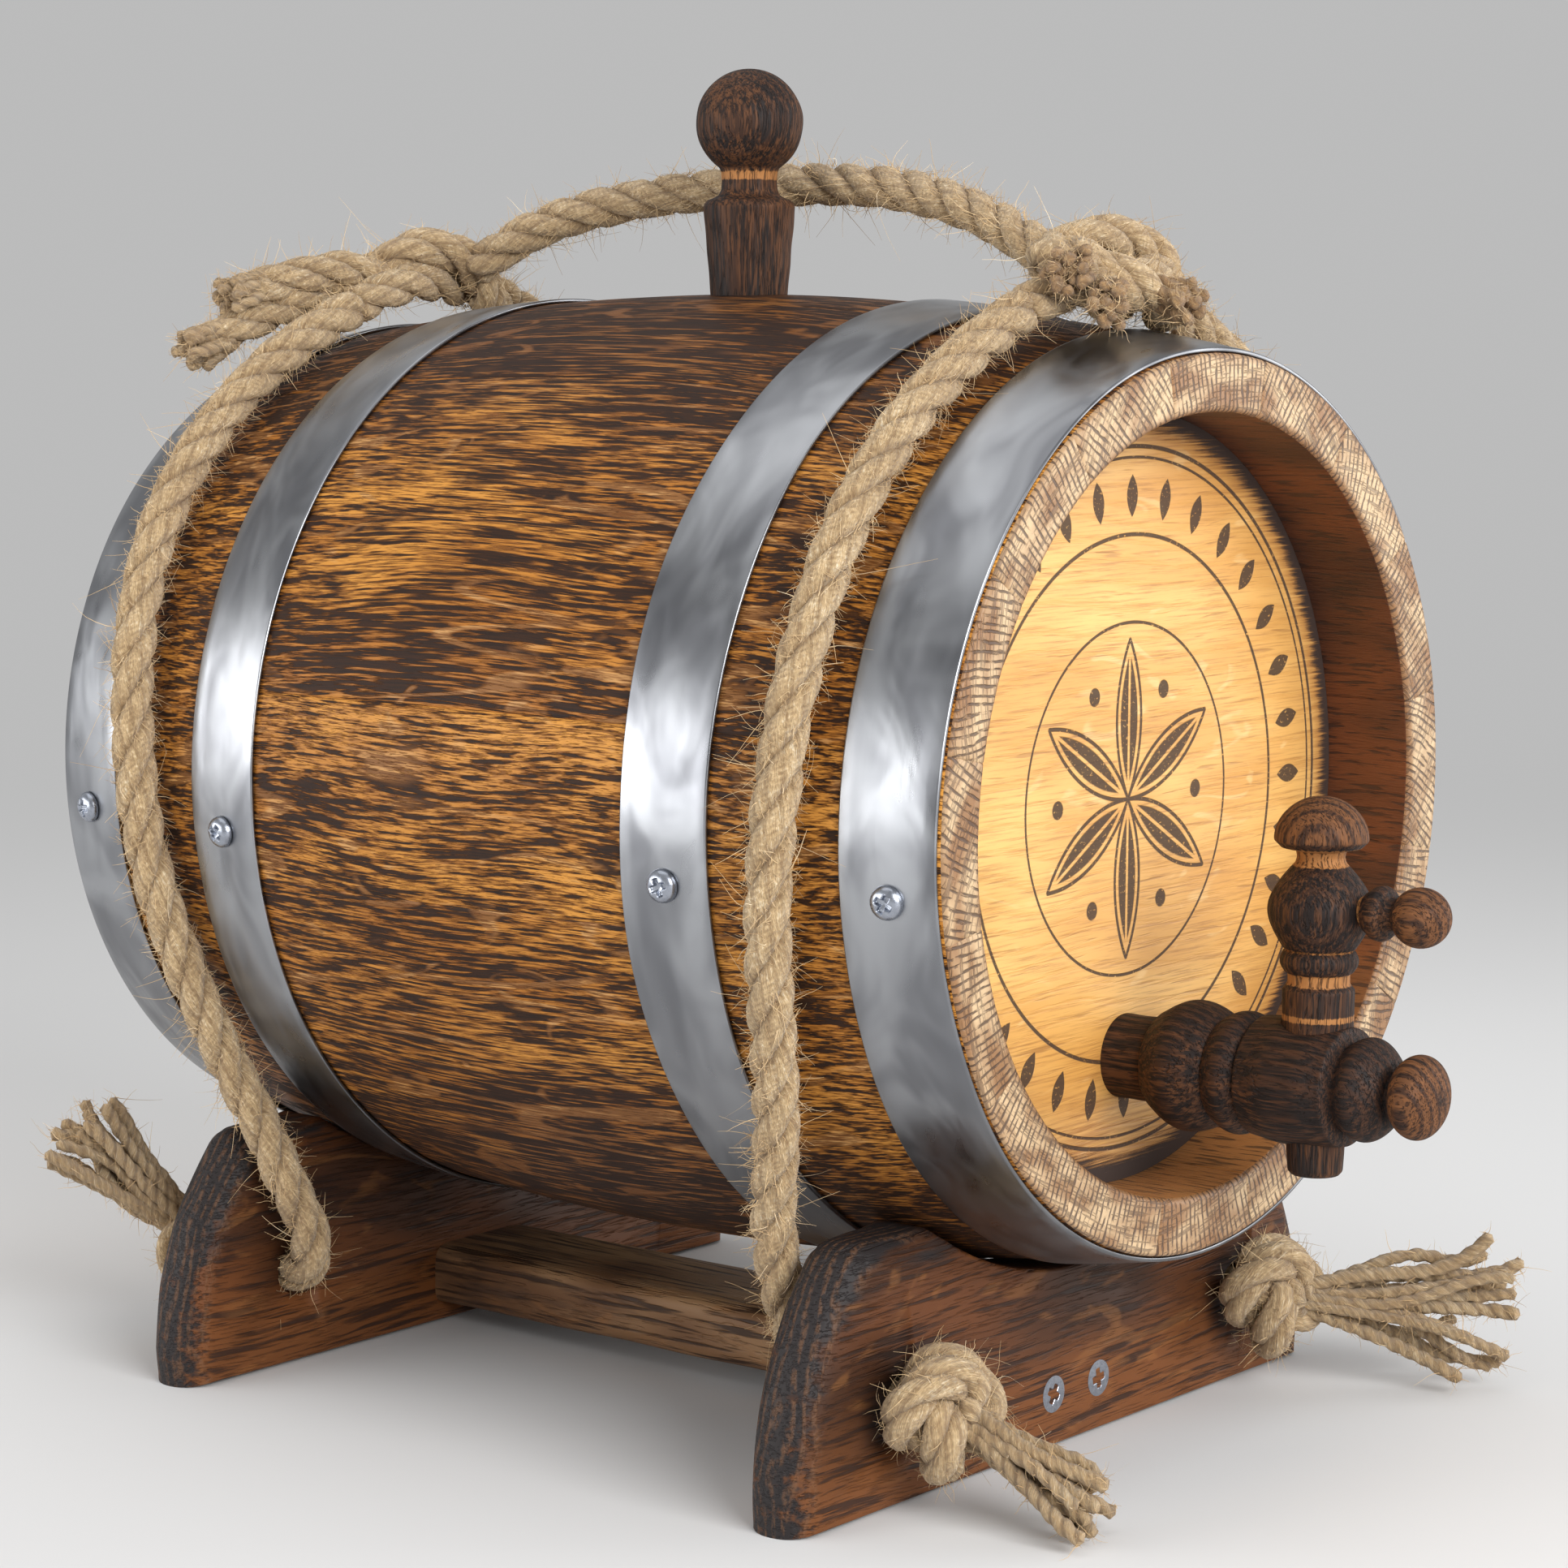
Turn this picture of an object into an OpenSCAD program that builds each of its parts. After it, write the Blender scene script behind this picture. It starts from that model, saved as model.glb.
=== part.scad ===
// Oak cask liquor dispenser: a small coopered cask, lashed with jute rope to a two-board cradle.
// Millimetres, +Z up. The cask lies along Y and its tap faces -Y. The cradle stands on z = 0, and
// the origin is below the middle of the whole object, from the tap's nose to the rear stave ends.

/* [Cask] */
// Outer diameter of the cask at its stave ends
chime_d = 188; // [160:1:230]
// Rise of the staves' outer face from their ends to mid-length
bulge = 12; // [6:1:20]
// Length of the cask, stave end to stave end
cask_len = 250; // [210:1:320]
// Thickness of the staves at their ends
stave_end_t = 12; // [8:0.5:16]
// Thickness of the staves at mid-length
stave_mid_t = 14; // [10:0.5:18]

/* [Heads] */
// Depth of each head's face below the stave ends
head_recess = 21; // [14:1:28]
// Thickness of a head
head_t = 12; // [9:1:16]
// Thickness of the tongue round a head, which sits in the croze
tongue_t = 5; // [3:0.5:7]
// Depth of the croze groove that holds the tongue
croze_depth = 3; // [2:0.5:4]
// Diameter of the dowels across the head's joints
dowel_d = 6; // [4:1:8]
// Length of the dowels
dowel_len = 24; // [16:1:30]
// Distance of the dowels from the middle of the head
dowel_x = 42; // [30:1:46]

/* [Hoops] */
// Thickness of the steel band
hoop_t = 1; // [0.6:0.1:2]
// Width of a hoop
hoop_w = 21; // [14:0.5:24]
// Bare stave left outside each head hoop
hoop_inset = 1; // [0.5:0.5:4]
// Bare stave between each quarter hoop and the cradle board beside it
quarter_gap = 6; // [2:0.5:12]
// Place of the hoop screws, in degrees from the top towards the left side
hoop_screw_angle = 96; // [60:1:120]
// Head diameter of a hoop screw
pan_head_d = 7; // [5:0.5:9]
// Shank diameter of a hoop screw
pan_shank_d = 3; // [2:0.5:4]
// Length of a hoop screw below its head
pan_len = 10; // [6:1:12]

/* [Bung] */
// Diameter of the bung's ball grip
bung_ball_d = 24; // [18:0.5:30]
// Height of the ball's centre above the cask's surface
bung_ball_h = 38; // [34:1:46]
// Diameter of the bung's taper where it meets the cask's surface
bung_seat_d = 17.4; // [14:0.2:22]
// Diameter of the top of the bung's taper
bung_top_d = 20.8; // [18:0.2:26]
// Height of the top of the bung's taper above the cask's surface
bung_top_h = 20.5; // [16:0.5:26]
// Reach of the bung below the cask's surface
bung_reach = 17; // [16:0.5:22]

/* [Tap] */
// Distance of the tap's axis from the lowest point of the head
tap_edge = 27; // [22:1:40]
// Diameter of the tap's tenon
tenon_d = 18; // [14:0.5:22]
// Bare tenon between the head and the tap's first bead
tenon_len = 10.5; // [8:0.5:16]
// Diameter of the tap's large bead
bulb_d = 28; // [24:0.5:34]
// Diameter of the tap's ring
ring_d = 26; // [22:0.5:30]
// Diameter of the tap's body, which the key passes through
body_d = 27; // [24:0.5:34]
// Diameter of the tap's front collar
collar_d = 20.4; // [16:0.2:26]
// Diameter of the tap's ball nose
nose_d = 17.6; // [12:0.2:22]
// Diameter of the waterway through the tap
waterway_d = 6; // [3:0.5:7]
// Diameter of the spout's bore up through the key
spout_d = 5.5; // [3:0.5:6.5]

/* [Key] */
// Diameter of the key's taper on top of the tap's body
key_top_d = 14.8; // [13:0.2:17]
// Diameter of the key's taper at its lower end
key_low_d = 11.4; // [10:0.2:13]
// Reach of the key's lower end below the tap's body
spout_reach = 5.5; // [4:0.5:16]
// Diameter of the key's bulb
key_bulb_d = 21.6; // [18:0.2:26]
// Diameter of the key's mushroom cap
key_cap_d = 19.4; // [16:0.2:24]
// Reach of the handle's ball centre from the key's axis
handle_reach = 23.5; // [21:0.5:30]
// Diameter of the handle's ball
handle_ball_d = 12.4; // [9:0.2:15]

/* [Cradle] */
// Height of the cask's belly above the ground
belly_h = 34; // [26:1:50]
// Width of a cradle board
board_w = 192; // [170:1:220]
// Thickness of a cradle board
board_t = 16; // [12:1:18]
// Height of the horns at each side of a board
board_h = 56; // [50:1:62]
// Bare stave between each board and the head hoop beside it
board_gap = 7.5; // [2:0.5:16]
// Sideways offset of the hand-sawn boards from the cask
board_shift = -4; // [-6:1:6]
// Radius of the rounded sides of a board
side_r = 68; // [50:1:90]
// Rounding of the horns' outer corners
horn_r = 8; // [3:1:12]
// Distance of the rope holes from the board's middle
rope_hole_x = 63; // [55:1:70]
// Height of the rope holes
rope_hole_z = 22; // [18:1:30]
// Width of the stretcher between the boards
stretcher_w = 34; // [28:1:50]
// Thickness of the stretcher
stretcher_t = 15; // [12:1:20]
// Height of the stretcher's middle
stretcher_z = 12; // [10:0.5:16]
// Spacing of the two screws in each end of the stretcher
wood_screw_gap = 17; // [14:1:24]
// Head diameter of a stretcher screw
wood_head_d = 8; // [6:0.5:9]
// Shank diameter of a stretcher screw
wood_shank_d = 4; // [3:0.5:5]
// Length of a stretcher screw
wood_screw_len = 40; // [30:1:60]

/* [Rope] */
// Diameter of the jute rope
rope_d = 10; // [8:0.5:12]
// Height of the knots at the boards' holes
board_knot_h = 30; // [24:1:34]
// Diameter of the knots at the boards' holes
board_knot_d = 22; // [18:1:26]
// Length of the two knots on top of the cask
top_knot_len = 60; // [50:1:70]
// Thickness of the two knots on top of the cask
top_knot_d = 19; // [16:1:24]

/* [Hidden] */

// Smoothness of round pieces, of hoops and of the staves' long arcs
fine = 64;
round_fn = 128;
arc_fn = 720;
// A little extra, so that a cut passes through its face
eps = 1;
// Clearance of glued joints, of the hoops, of the turning and lifting fits, and of soft pieces
joint_gap = 0.1;
fit_gap = 0.08;
soft_gap = 0.3;

// Staves round the cask, and boards jointed to make one head
stave_count = 16;
head_boards = 3;

half_len = cask_len / 2;
bilge_d = chime_d + 2 * bulge;
bore_r = chime_d / 2 - stave_end_t;
hollow_d = bilge_d - 2 * stave_mid_t;
// Radius of the arc over a chord of half-length half that rises by rise
function arc_r(half, rise) = (half * half + rise * rise) / (2 * rise);
outer_arc = arc_r(half_len, bulge);
arc_axis = bilge_d / 2 - outer_arc;
// Outer radius of the cask at the distance y from its mid-length
function cask_r(y) = arc_axis + sqrt(outer_arc * outer_arc - y * y);
// The hollow is a second arc, which meets the straight bore just inside each head
croze_lip = 4;
hollow_half = half_len - head_recess - head_t - croze_lip;
hollow_arc = arc_r(hollow_half, hollow_d / 2 - bore_r);

head_face = half_len - head_recess;
head_mid = head_face - head_t / 2;
head_r = bore_r - joint_gap;
tap_drop = bore_r - tap_edge;
board_rise = 2 * bore_r / head_boards;

// Stations along the tap, measured outwards from the face of the head
tap_root = -head_t - croze_lip;
bulb_s = tenon_len;
ring_s = bulb_s + 15.5;
body_s = ring_s + 8.5;
collar_s = body_s + 21.5;
nose_s = collar_s + 10;
tap_tip = nose_s + 11;
key_s = body_s + 13;
tenon_taper = 0.04;
// Stations along the key, measured upwards from the tap's axis
key_low = -body_d / 2 - spout_reach;
key_neck = body_d / 2 + 7;
key_ring = key_neck + 3;
key_bulb = key_ring + 4.5;
key_throat = key_bulb + 18;
key_cap = key_throat + 3.5;
key_tip = key_cap + 10;
handle_z = key_bulb + 8.6;
handle_peg_d = 6;
handle_peg_root = 4;
key_slope = (key_top_d - key_low_d) / 2 / (body_d + spout_reach);

cask_y = (head_face + tap_tip - half_len) / 2;
// Places of the staves, in degrees, and of the head boards' joints
stave_a = 360 / stave_count;
head_hoop_mid = half_len - hoop_inset - hoop_w / 2;
board_y = head_hoop_mid - hoop_w / 2 - board_gap - board_t / 2;
quarter_hoop_mid = board_y - board_t / 2 - quarter_gap - hoop_w / 2;
axis_h = bilge_d / 2 + belly_h;
hoop_lift = joint_gap;
saddle_r = cask_r(board_y - board_t / 2) + joint_gap;

// Routes of the rope round the cask, from the outer face of a board to the knot on top,
// measured from the middle of the cask
front_left_route = [
    [-67, -95.5, -118], [-67, -79.5, -118], [-68.5, -73, -114], [-71.5, -71, -105.5], [-77, -72, -94],
    [-83, -75, -79], [-91, -82, -60], [-98.5, -87, -40], [-104.5, -90.5, -18.5], [-105.5, -92.5, 4],
    [-102.5, -94, 25.5], [-94.5, -94.5, 46.5], [-83, -95, 65], [-67.5, -95, 80.5], [-49, -95, 93],
    [-27, -95, 103.5]
];
front_right_route = [
    [59, -95.5, -118], [59, -79.5, -118], [60.5, -73, -114], [65, -71, -105.5], [72.5, -72, -93],
    [81, -75, -77], [91, -82, -58], [98.5, -87, -39], [104.5, -90.5, -18.5], [105.5, -92.5, 4],
    [102.5, -94, 25.5], [94.5, -94.5, 46.5], [83, -95, 65], [67.5, -95, 80.5], [49, -95, 93],
    [27, -95, 103.5]
];
rear_left_route = [
    [-67, 95.5, -118], [-67, 79.5, -118], [-68.5, 73, -114], [-71.5, 71, -105.5], [-77, 72, -94],
    [-83, 75, -79], [-91, 79.5, -60], [-98.5, 83, -40], [-104.5, 86, -18.5], [-105.5, 89, 4],
    [-102.5, 92, 25.5], [-94.5, 95.5, 46.5], [-83, 96.5, 65], [-67.5, 97, 80.5], [-49, 97, 93],
    [-27, 97, 103.5]
];
rear_right_route = [
    [59, 95.5, -118], [59, 79.5, -118], [60.5, 73, -114], [65, 71, -105.5], [72.5, 72, -93],
    [81, 75, -77], [91, 79.5, -58], [98.5, 83, -39], [104.5, 86, -18.5], [105.5, 89, 4],
    [102.5, 92, 25.5], [94.5, 95.5, 46.5], [83, 96.5, 65], [67.5, 97, 80.5], [49, 97, 93],
    [27, 97, 103.5]
];
// Route of the carrying rope, from the rear knot, past the bung, to the front knot
carry_route = [
    [3, 88, 111.5], [6.5, 75, 119.5], [10, 62, 124.5], [13.5, 48, 127.5], [16.5, 32, 129.5],
    [18.5, 16, 130.5], [19, 0, 131], [18, -16, 130.5], [16, -32, 129], [13, -47, 126],
    [10, -60, 122], [6.5, -72, 117], [3, -86, 110.5]
];
// Middles of the top knots
front_knot = [0, -95, 109.5];
rear_knot = [0, 97, 109.5];
// Tassels at the boards, each from its root to its end, measured from the mouth of its rope hole,
// with the radii there
tassel_root_r = 5.5;
tassel_end_r = 9;
front_left_tassel = [[1, -20.5, -2], [7, -48.5, -11]];
front_right_tassel = [[3, -18.5, -1], [29, -50.5, -7]];
rear_left_tassel = [[-3, 20.5, 6], [-27, 36.5, 38]];
rear_right_tassel = [[1, 21.5, -2], [13, 47.5, -10]];
// Cut rope ends beside the top knots, each from its root to its end
front_ends = [
    [[-16, -101, 110], [-30, -106, 110.5]],
    [[-14, -102, 105], [-24, -116, 102.5]],
    [[4, -102, 106], [3, -115, 104]]
];
rear_ends = [
    [[-22, 102.5, 111.5], [-55, 111.5, 105]],
    [[-22, 105.5, 107], [-66, 114, 92.5]]
];

oak = "#b9722c";
head_oak = "#e0b15c";
dark_oak = "#4a2a17";
cradle_oak = "#6b3a1d";
steel = "#c8ccd0";
jute = "#c2a06a";

// Places the cask and all that is lashed to it over the cradle
module at_cask() {
    translate([0, cask_y, axis_h]) children();
}

// Turns an outline of radius and height into a piece that stands along Y
module turn_y(fn = round_fn) {
    rotate([-90, 0, 0]) rotate_extrude($fn = fn) children();
}

// Places a piece on the cask's surface, at the distance y from mid-length, the angle from the top
// towards the left side and the height lift, with its Z axis square to the surface
module on_cask(y, angle, lift) {
    slope = asin(y / outer_arc);
    rotate([-90, 0, 0]) rotate([0, 0, -90 - angle])
        translate([arc_axis + (outer_arc + lift) * cos(slope), 0, (outer_arc + lift) * sin(slope)])
            rotate([0, 90 - slope, 0]) children();
}

// Places a piece on the tap's axis, with its Z axis outwards from the face of the front head
module at_tap() {
    at_cask() translate([0, -head_face, -tap_drop]) rotate([90, 0, 0]) children();
}

// Places a piece on the key's axis, with z = 0 on the tap's axis
module at_key() {
    at_cask() translate([0, -head_face - key_s, -tap_drop]) children();
}

// Places the cradle's pieces on the ground, under the cask and to one side of it
module at_cradle() {
    translate([board_shift, cask_y, 0]) children();
}

// A turned bead: points that swell from radius r0 at s0 to r1 at s1, by the height swell between
function bead(s0, r0, s1, r1, swell, steps = 8) = [
    for (k = [0 : steps])
        [r0 + (r1 - r0) * k / steps + swell * sin(180 * k / steps), s0 + (s1 - s0) * k / steps]
];

// A turned piece, from the list of its outline's [radius, station] points
module turned(outline) {
    last = len(outline) - 1;
    points = concat([[0, outline[0][1]]], outline, [[0, outline[last][1]]]);
    rotate_extrude($fn = fine) polygon(points);
}

// A round bar from the point a to the point b, with the radii ra and rb at its ends
module bar(a, b, ra, rb) {
    way = b - a;
    length = norm(way);
    translate(a) rotate([0, acos(way.z / length), atan2(way.y, way.x)])
        cylinder(h = length, r1 = ra, r2 = rb, $fn = fine);
}

function unit(v) = v / norm(v);
// Direction of a route at its point i
function heading(route, i) =
    unit(route[min(i + 1, len(route) - 1)] - route[max(i - 1, 0)]);
// Directions square to a route at each of its points, with no twist from one to the next
function normals(route, first, i = 0, done = []) =
    i == len(route) ? done :
    let (before = i == 0 ? first : done[i - 1])
    let (way = heading(route, i))
    normals(route, first, i + 1, concat(done, [unit(before - (before * way) * way)]));

// A rope along a route, swept as one closed tube
module rope(route, sides = 10) {
    n = normals(route, [0, 0.2, 1]);
    rings = len(route);
    points = [
        for (i = [0 : rings - 1])
            for (j = [0 : sides - 1])
                route[i] + rope_d / 2 * (cos(360 * j / sides) * n[i]
                    + sin(360 * j / sides) * cross(heading(route, i), n[i]))
    ];
    walls = [
        for (i = [0 : rings - 2])
            for (j = [0 : sides - 1])
                let (a = i * sides + j)
                let (b = i * sides + (j + 1) % sides)
                each [[a, a + sides, b + sides], [a, b + sides, b]]
    ];
    start_cap = [for (j = [0 : sides - 1]) j];
    end_cap = [for (j = [sides - 1 : -1 : 0]) (rings - 1) * sides + j];
    polyhedron(points, concat([start_cap], walls, [end_cap]));
}

// Outline of a stave along the cask: the bent outer face, the hollow, the bore and two crozes
module stave_outline() {
    difference() {
        intersection() {
            translate([arc_axis, 0]) circle(r = outer_arc, $fn = arc_fn);
            translate([bore_r, -half_len]) square([bilge_d / 2 - bore_r + eps, cask_len]);
        }
        translate([hollow_d / 2 - hollow_arc, 0]) circle(r = hollow_arc, $fn = arc_fn);
        for (side = [-1, 1])
            translate([bore_r - eps, side * head_mid - tongue_t / 2 - joint_gap])
                square([croze_depth + eps, tongue_t + 2 * joint_gap]);
    }
}

// Stave number i, counted from the one on top that holds the bung, clockwise from the front
module stave(i) {
    color(oak) at_cask() difference() {
        rotate([-90, 0, 0]) rotate([0, 0, -90 + (i - 1.5) * stave_a])
            rotate_extrude(angle = stave_a, $fn = round_fn) stave_outline();
        bung_hole();
        hoop_screw_places() translate([0, 0, -pan_len - eps])
            cylinder(h = pan_len + 2 * eps, d = pan_shank_d + joint_gap, $fn = fine);
    }
}

// The tapered hole in the top stave: the bung's own taper with a clearance round it
module bung_hole() {
    slope = (bung_top_d - bung_seat_d) / 2 / bung_top_h;
    top = 2 * eps;
    low = -bilge_d / 2 + hollow_d / 2 - 2 * eps;
    translate([0, 0, bilge_d / 2 + low])
        cylinder(h = top - low, r1 = bung_seat_d / 2 + fit_gap + slope * low,
            r2 = bung_seat_d / 2 + fit_gap + slope * top, $fn = fine);
}

// The four places of the hoop screws, on the outside of the hoops
module hoop_screw_places() {
    for (y = [-head_hoop_mid, -quarter_hoop_mid, quarter_hoop_mid, head_hoop_mid])
        on_cask(y, hoop_screw_angle, hoop_lift + hoop_t) children();
}

// One head, whole: a disc with a tongue round it
module head_disc() {
    turn_y() {
        translate([0, head_face - head_t]) square([head_r, head_t]);
        translate([0, head_mid - tongue_t / 2]) square([bore_r + croze_depth - joint_gap, tongue_t]);
    }
}

// The dowels across a head's joints, or the holes for them when grown by gap
module head_dowel_bars(gap) {
    for (k = [1 : head_boards - 1])
        for (side = [-1, 1])
            translate([side * dowel_x, head_mid, -bore_r + k * board_rise - dowel_len / 2 - gap])
                cylinder(h = dowel_len + 2 * gap, d = dowel_d + 2 * gap, $fn = fine);
}

// Board number k of a head, counted from the bottom. The rear head faces +Y.
module head_board(k) {
    reach = bore_r + croze_depth;
    low = k == 1 ? -reach : -bore_r + (k - 1) * board_rise;
    high = k == head_boards ? reach : -bore_r + k * board_rise;
    difference() {
        intersection() {
            head_disc();
            translate([-reach, 0, low]) cube([2 * reach, half_len, high - low]);
        }
        head_dowel_bars(joint_gap / 2);
    }
}

// A board of the front head, with the tap's hole through it where the tap passes
module front_board(k) {
    color(head_oak) difference() {
        at_cask() rotate([0, 0, 180]) head_board(k);
        at_tap() translate([0, 0, tap_root - eps])
            cylinder(h = eps * 2 - tap_root, r1 = tenon_r(tap_root - eps) + fit_gap,
                r2 = tenon_r(eps) + fit_gap, $fn = fine);
    }
}

module rear_board(k) {
    color(head_oak) at_cask() head_board(k);
}

module front_head_top() { front_board(3); }
module front_head_middle() { front_board(2); }
module front_head_bottom() { front_board(1); }
module rear_head_top() { rear_board(3); }
module rear_head_middle() { rear_board(2); }
module rear_head_bottom() { rear_board(1); }

module front_head_dowels() {
    color(oak) at_cask() rotate([0, 0, 180]) head_dowel_bars(0);
}

module rear_head_dowels() {
    color(oak) at_cask() head_dowel_bars(0);
}

// A steel band bent to the cask, with its middle at the distance y from mid-length
module hoop(y) {
    color(steel) at_cask() difference() {
        turn_y() intersection() {
            difference() {
                translate([arc_axis, 0]) circle(r = outer_arc + hoop_lift + hoop_t, $fn = arc_fn);
                translate([arc_axis, 0]) circle(r = outer_arc + hoop_lift, $fn = arc_fn);
            }
            translate([bore_r, y - hoop_w / 2]) square([bilge_d / 2, hoop_w]);
        }
        hoop_screw_places() translate([0, 0, -hoop_t - eps])
            cylinder(h = hoop_t + 2 * eps, d = pan_shank_d + 2 * joint_gap, $fn = fine);
    }
}

// A cross-shaped driver recess, cut down from z = 0
module cross_recess(width, depth) {
    slot = width / 5;
    for (a = [0, 90])
        rotate([0, 0, a]) translate([-width / 2, -slot / 2, -depth]) cube([width, slot, depth + eps]);
}

module pan_screw() {
    head_h = pan_head_d * 0.34;
    head_r = pan_head_d / 2;
    point = pan_shank_d;
    difference() {
        union() {
            turned(concat([[head_r, 0]], bead(head_h * 0.35, head_r, head_h, 1, head_r * 0.2, 5)));
            translate([0, 0, point - pan_len])
                cylinder(h = pan_len - point + 0.1, d = pan_shank_d, $fn = fine);
            translate([0, 0, -pan_len]) cylinder(h = point, d1 = 0.4, d2 = pan_shank_d, $fn = fine);
        }
        translate([0, 0, head_h]) cross_recess(pan_head_d * 0.5, head_h * 0.6);
    }
}

module hoop_screws() {
    color(steel) at_cask() hoop_screw_places() translate([0, 0, joint_gap / 2]) pan_screw();
}

// The bung: a taper with a rounded shoulder, a neck and a ball
module bung() {
    slope = (bung_top_d - bung_seat_d) / 2 / bung_top_h;
    top_r = bung_top_d / 2;
    neck_r = bung_ball_d * 0.26;
    ball_r = bung_ball_d / 2;
    color(dark_oak) at_cask() translate([0, 0, bilge_d / 2]) union() {
        turned([
            [bung_seat_d / 2 - slope * bung_reach, -bung_reach], [top_r, bung_top_h - 1],
            [top_r - 0.8, bung_top_h], [neck_r + 1.2, bung_top_h + 0.8], [neck_r, bung_top_h + 2.2],
            [neck_r, bung_ball_h - ball_r * 0.75]
        ]);
        translate([0, 0, bung_ball_h]) sphere(r = ball_r, $fn = fine);
    }
}

// Radius of the tap's tenon at the station s
function tenon_r(s) = tenon_d / 2 + tenon_taper * min(s, 0);
// Radius of the key's taper at the height z above the tap's axis
function key_r(z) = key_low_d / 2 + key_slope * (z - key_low);

// The tap: tenon, bead, ring, body, collar and ball nose, bored for the waterway and the key
module tap_body() {
    groove_r = ring_d / 2 - 1.6;
    throat_r = nose_d / 4;
    color(dark_oak) at_tap() difference() {
        turned(concat(
            [[tenon_r(tap_root), tap_root], [tenon_r(0), 0], [tenon_d / 2, bulb_s]],
            bead(bulb_s, groove_r - 1, ring_s - 0.4, groove_r, bulb_d / 2 - groove_r + 0.5),
            bead(ring_s, groove_r, body_s - 0.4, groove_r, ring_d / 2 - groove_r),
            bead(body_s, body_d / 2 - 1, collar_s - 1, body_d / 2 - 1.2, 1),
            [[collar_d / 2 - 1.2, collar_s]],
            bead(collar_s + 0.3, collar_d / 2 - 1, nose_s - 0.6, throat_r + 2.5, 2.6),
            [[throat_r, nose_s]],
            bead(nose_s + 0.2, throat_r, tap_tip, 1, nose_d / 2 - throat_r / 2, 12)
        ));
        translate([0, 0, tap_root - eps]) cylinder(h = key_s - tap_root + eps, d = waterway_d, $fn = fine);
        translate([0, 0, key_s]) rotate([-90, 0, 0]) translate([0, 0, -body_d / 2 - eps])
            cylinder(h = body_d + 2 * eps, r1 = key_r(-body_d / 2 - eps) + fit_gap,
                r2 = key_r(body_d / 2 + eps) + fit_gap, $fn = fine);
    }
}

// The key: a taper that passes down through the tap, then a ring, a bulb and a mushroom cap.
// A quarter turn brings its side hole round to the waterway, and its lower end is the spout.
module tap_key() {
    neck_r = key_top_d / 2 - 1;
    ring_r = key_bulb_d / 2 - 2.8;
    throat_r = 5;
    side_d = spout_d - 1.5;
    dome_h = key_tip - key_cap - 1;
    color(dark_oak) at_key() difference() {
        turned(concat(
            [[key_low_d / 2 - 0.8, key_low], [key_low_d / 2, key_low + 1], [key_r(body_d / 2), body_d / 2],
            [key_top_d / 2, key_neck - 0.6], [neck_r, key_neck], [neck_r, key_ring - 0.6]],
            bead(key_ring, ring_r - 0.8, key_bulb - 0.4, ring_r - 0.6, 0.8, 4),
            bead(key_bulb, ring_r - 0.6, key_throat, throat_r, key_bulb_d / 2 - ring_r + 1.6, 12),
            [[throat_r, key_cap - 0.8], [key_cap_d / 2 - 0.8, key_cap]],
            [for (a = [10 : 12 : 82]) [key_cap_d / 2 * cos(a), key_cap + 1 + dome_h * sin(a)]]
        ));
        translate([0, 0, key_low - eps]) cylinder(h = side_d - key_low + eps, d = spout_d, $fn = fine);
        rotate([0, 90, 0]) cylinder(h = key_top_d, d = side_d, $fn = fine);
        translate([0, 0, handle_z]) rotate([90, 0, 0]) translate([0, 0, handle_peg_root - joint_gap])
            cylinder(h = key_bulb_d, d = handle_peg_d + joint_gap, $fn = fine);
    }
}

// The handle pegged into the key's bulb: peg, collar, neck and ball
module key_handle() {
    ball_r = handle_ball_d / 2;
    neck_r = ball_r * 0.55;
    collar_end = handle_reach - ball_r - 0.8;
    color(dark_oak) at_key() translate([0, 0, handle_z]) rotate([90, 0, 0]) union() {
        turned([
            [handle_peg_d / 2, handle_peg_root], [handle_peg_d / 2, key_bulb_d / 2 + 0.2],
            [ball_r * 0.62, key_bulb_d / 2 + 0.2], [ball_r * 0.9, collar_end - 3.4],
            [ball_r * 0.92, collar_end - 1], [ball_r * 0.7, collar_end], [neck_r, collar_end + 0.4],
            [neck_r, handle_reach - ball_r * 0.7]
        ]);
        translate([0, 0, handle_reach]) sphere(r = ball_r, $fn = fine);
    }
}

// Outline of a cradle board, from the front: bulged sides, flat horns and the cask's saddle
module board_outline() {
    side_z = 8;
    side_x = board_w / 2 - side_r;
    corner_z = board_h - horn_r;
    corner_x = side_x + sqrt(pow(side_r - horn_r, 2) - pow(corner_z - side_z, 2));
    tangent = unit([corner_x - side_x, corner_z - side_z]) * side_r + [side_x, side_z];
    difference() {
        intersection() {
            translate([-board_w / 2, 0]) square([board_w, board_h]);
            translate([-side_x, side_z]) circle(r = side_r, $fn = arc_fn);
        }
        translate([0, -eps]) square([board_w, board_h + 2 * eps]);
        mirror([1, 0]) horn_corner(corner_x, corner_z, tangent);
    }
    difference() {
        intersection() {
            translate([-board_w / 2, 0]) square([board_w, board_h]);
            translate([side_x, side_z]) circle(r = side_r, $fn = arc_fn);
        }
        translate([-board_w, -eps]) square([board_w, board_h + 2 * eps]);
        horn_corner(corner_x, corner_z, tangent);
    }
}

// The waste outside a horn's rounded corner, between the rounding's centre and its two ends
module horn_corner(x, z, tangent) {
    side = board_w / 2;
    top = board_h + eps;
    difference() {
        polygon([[x, z], tangent, [side, tangent.y], [side, top], [x, top]]);
        translate([x, z]) circle(r = horn_r, $fn = fine);
    }
}

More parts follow.
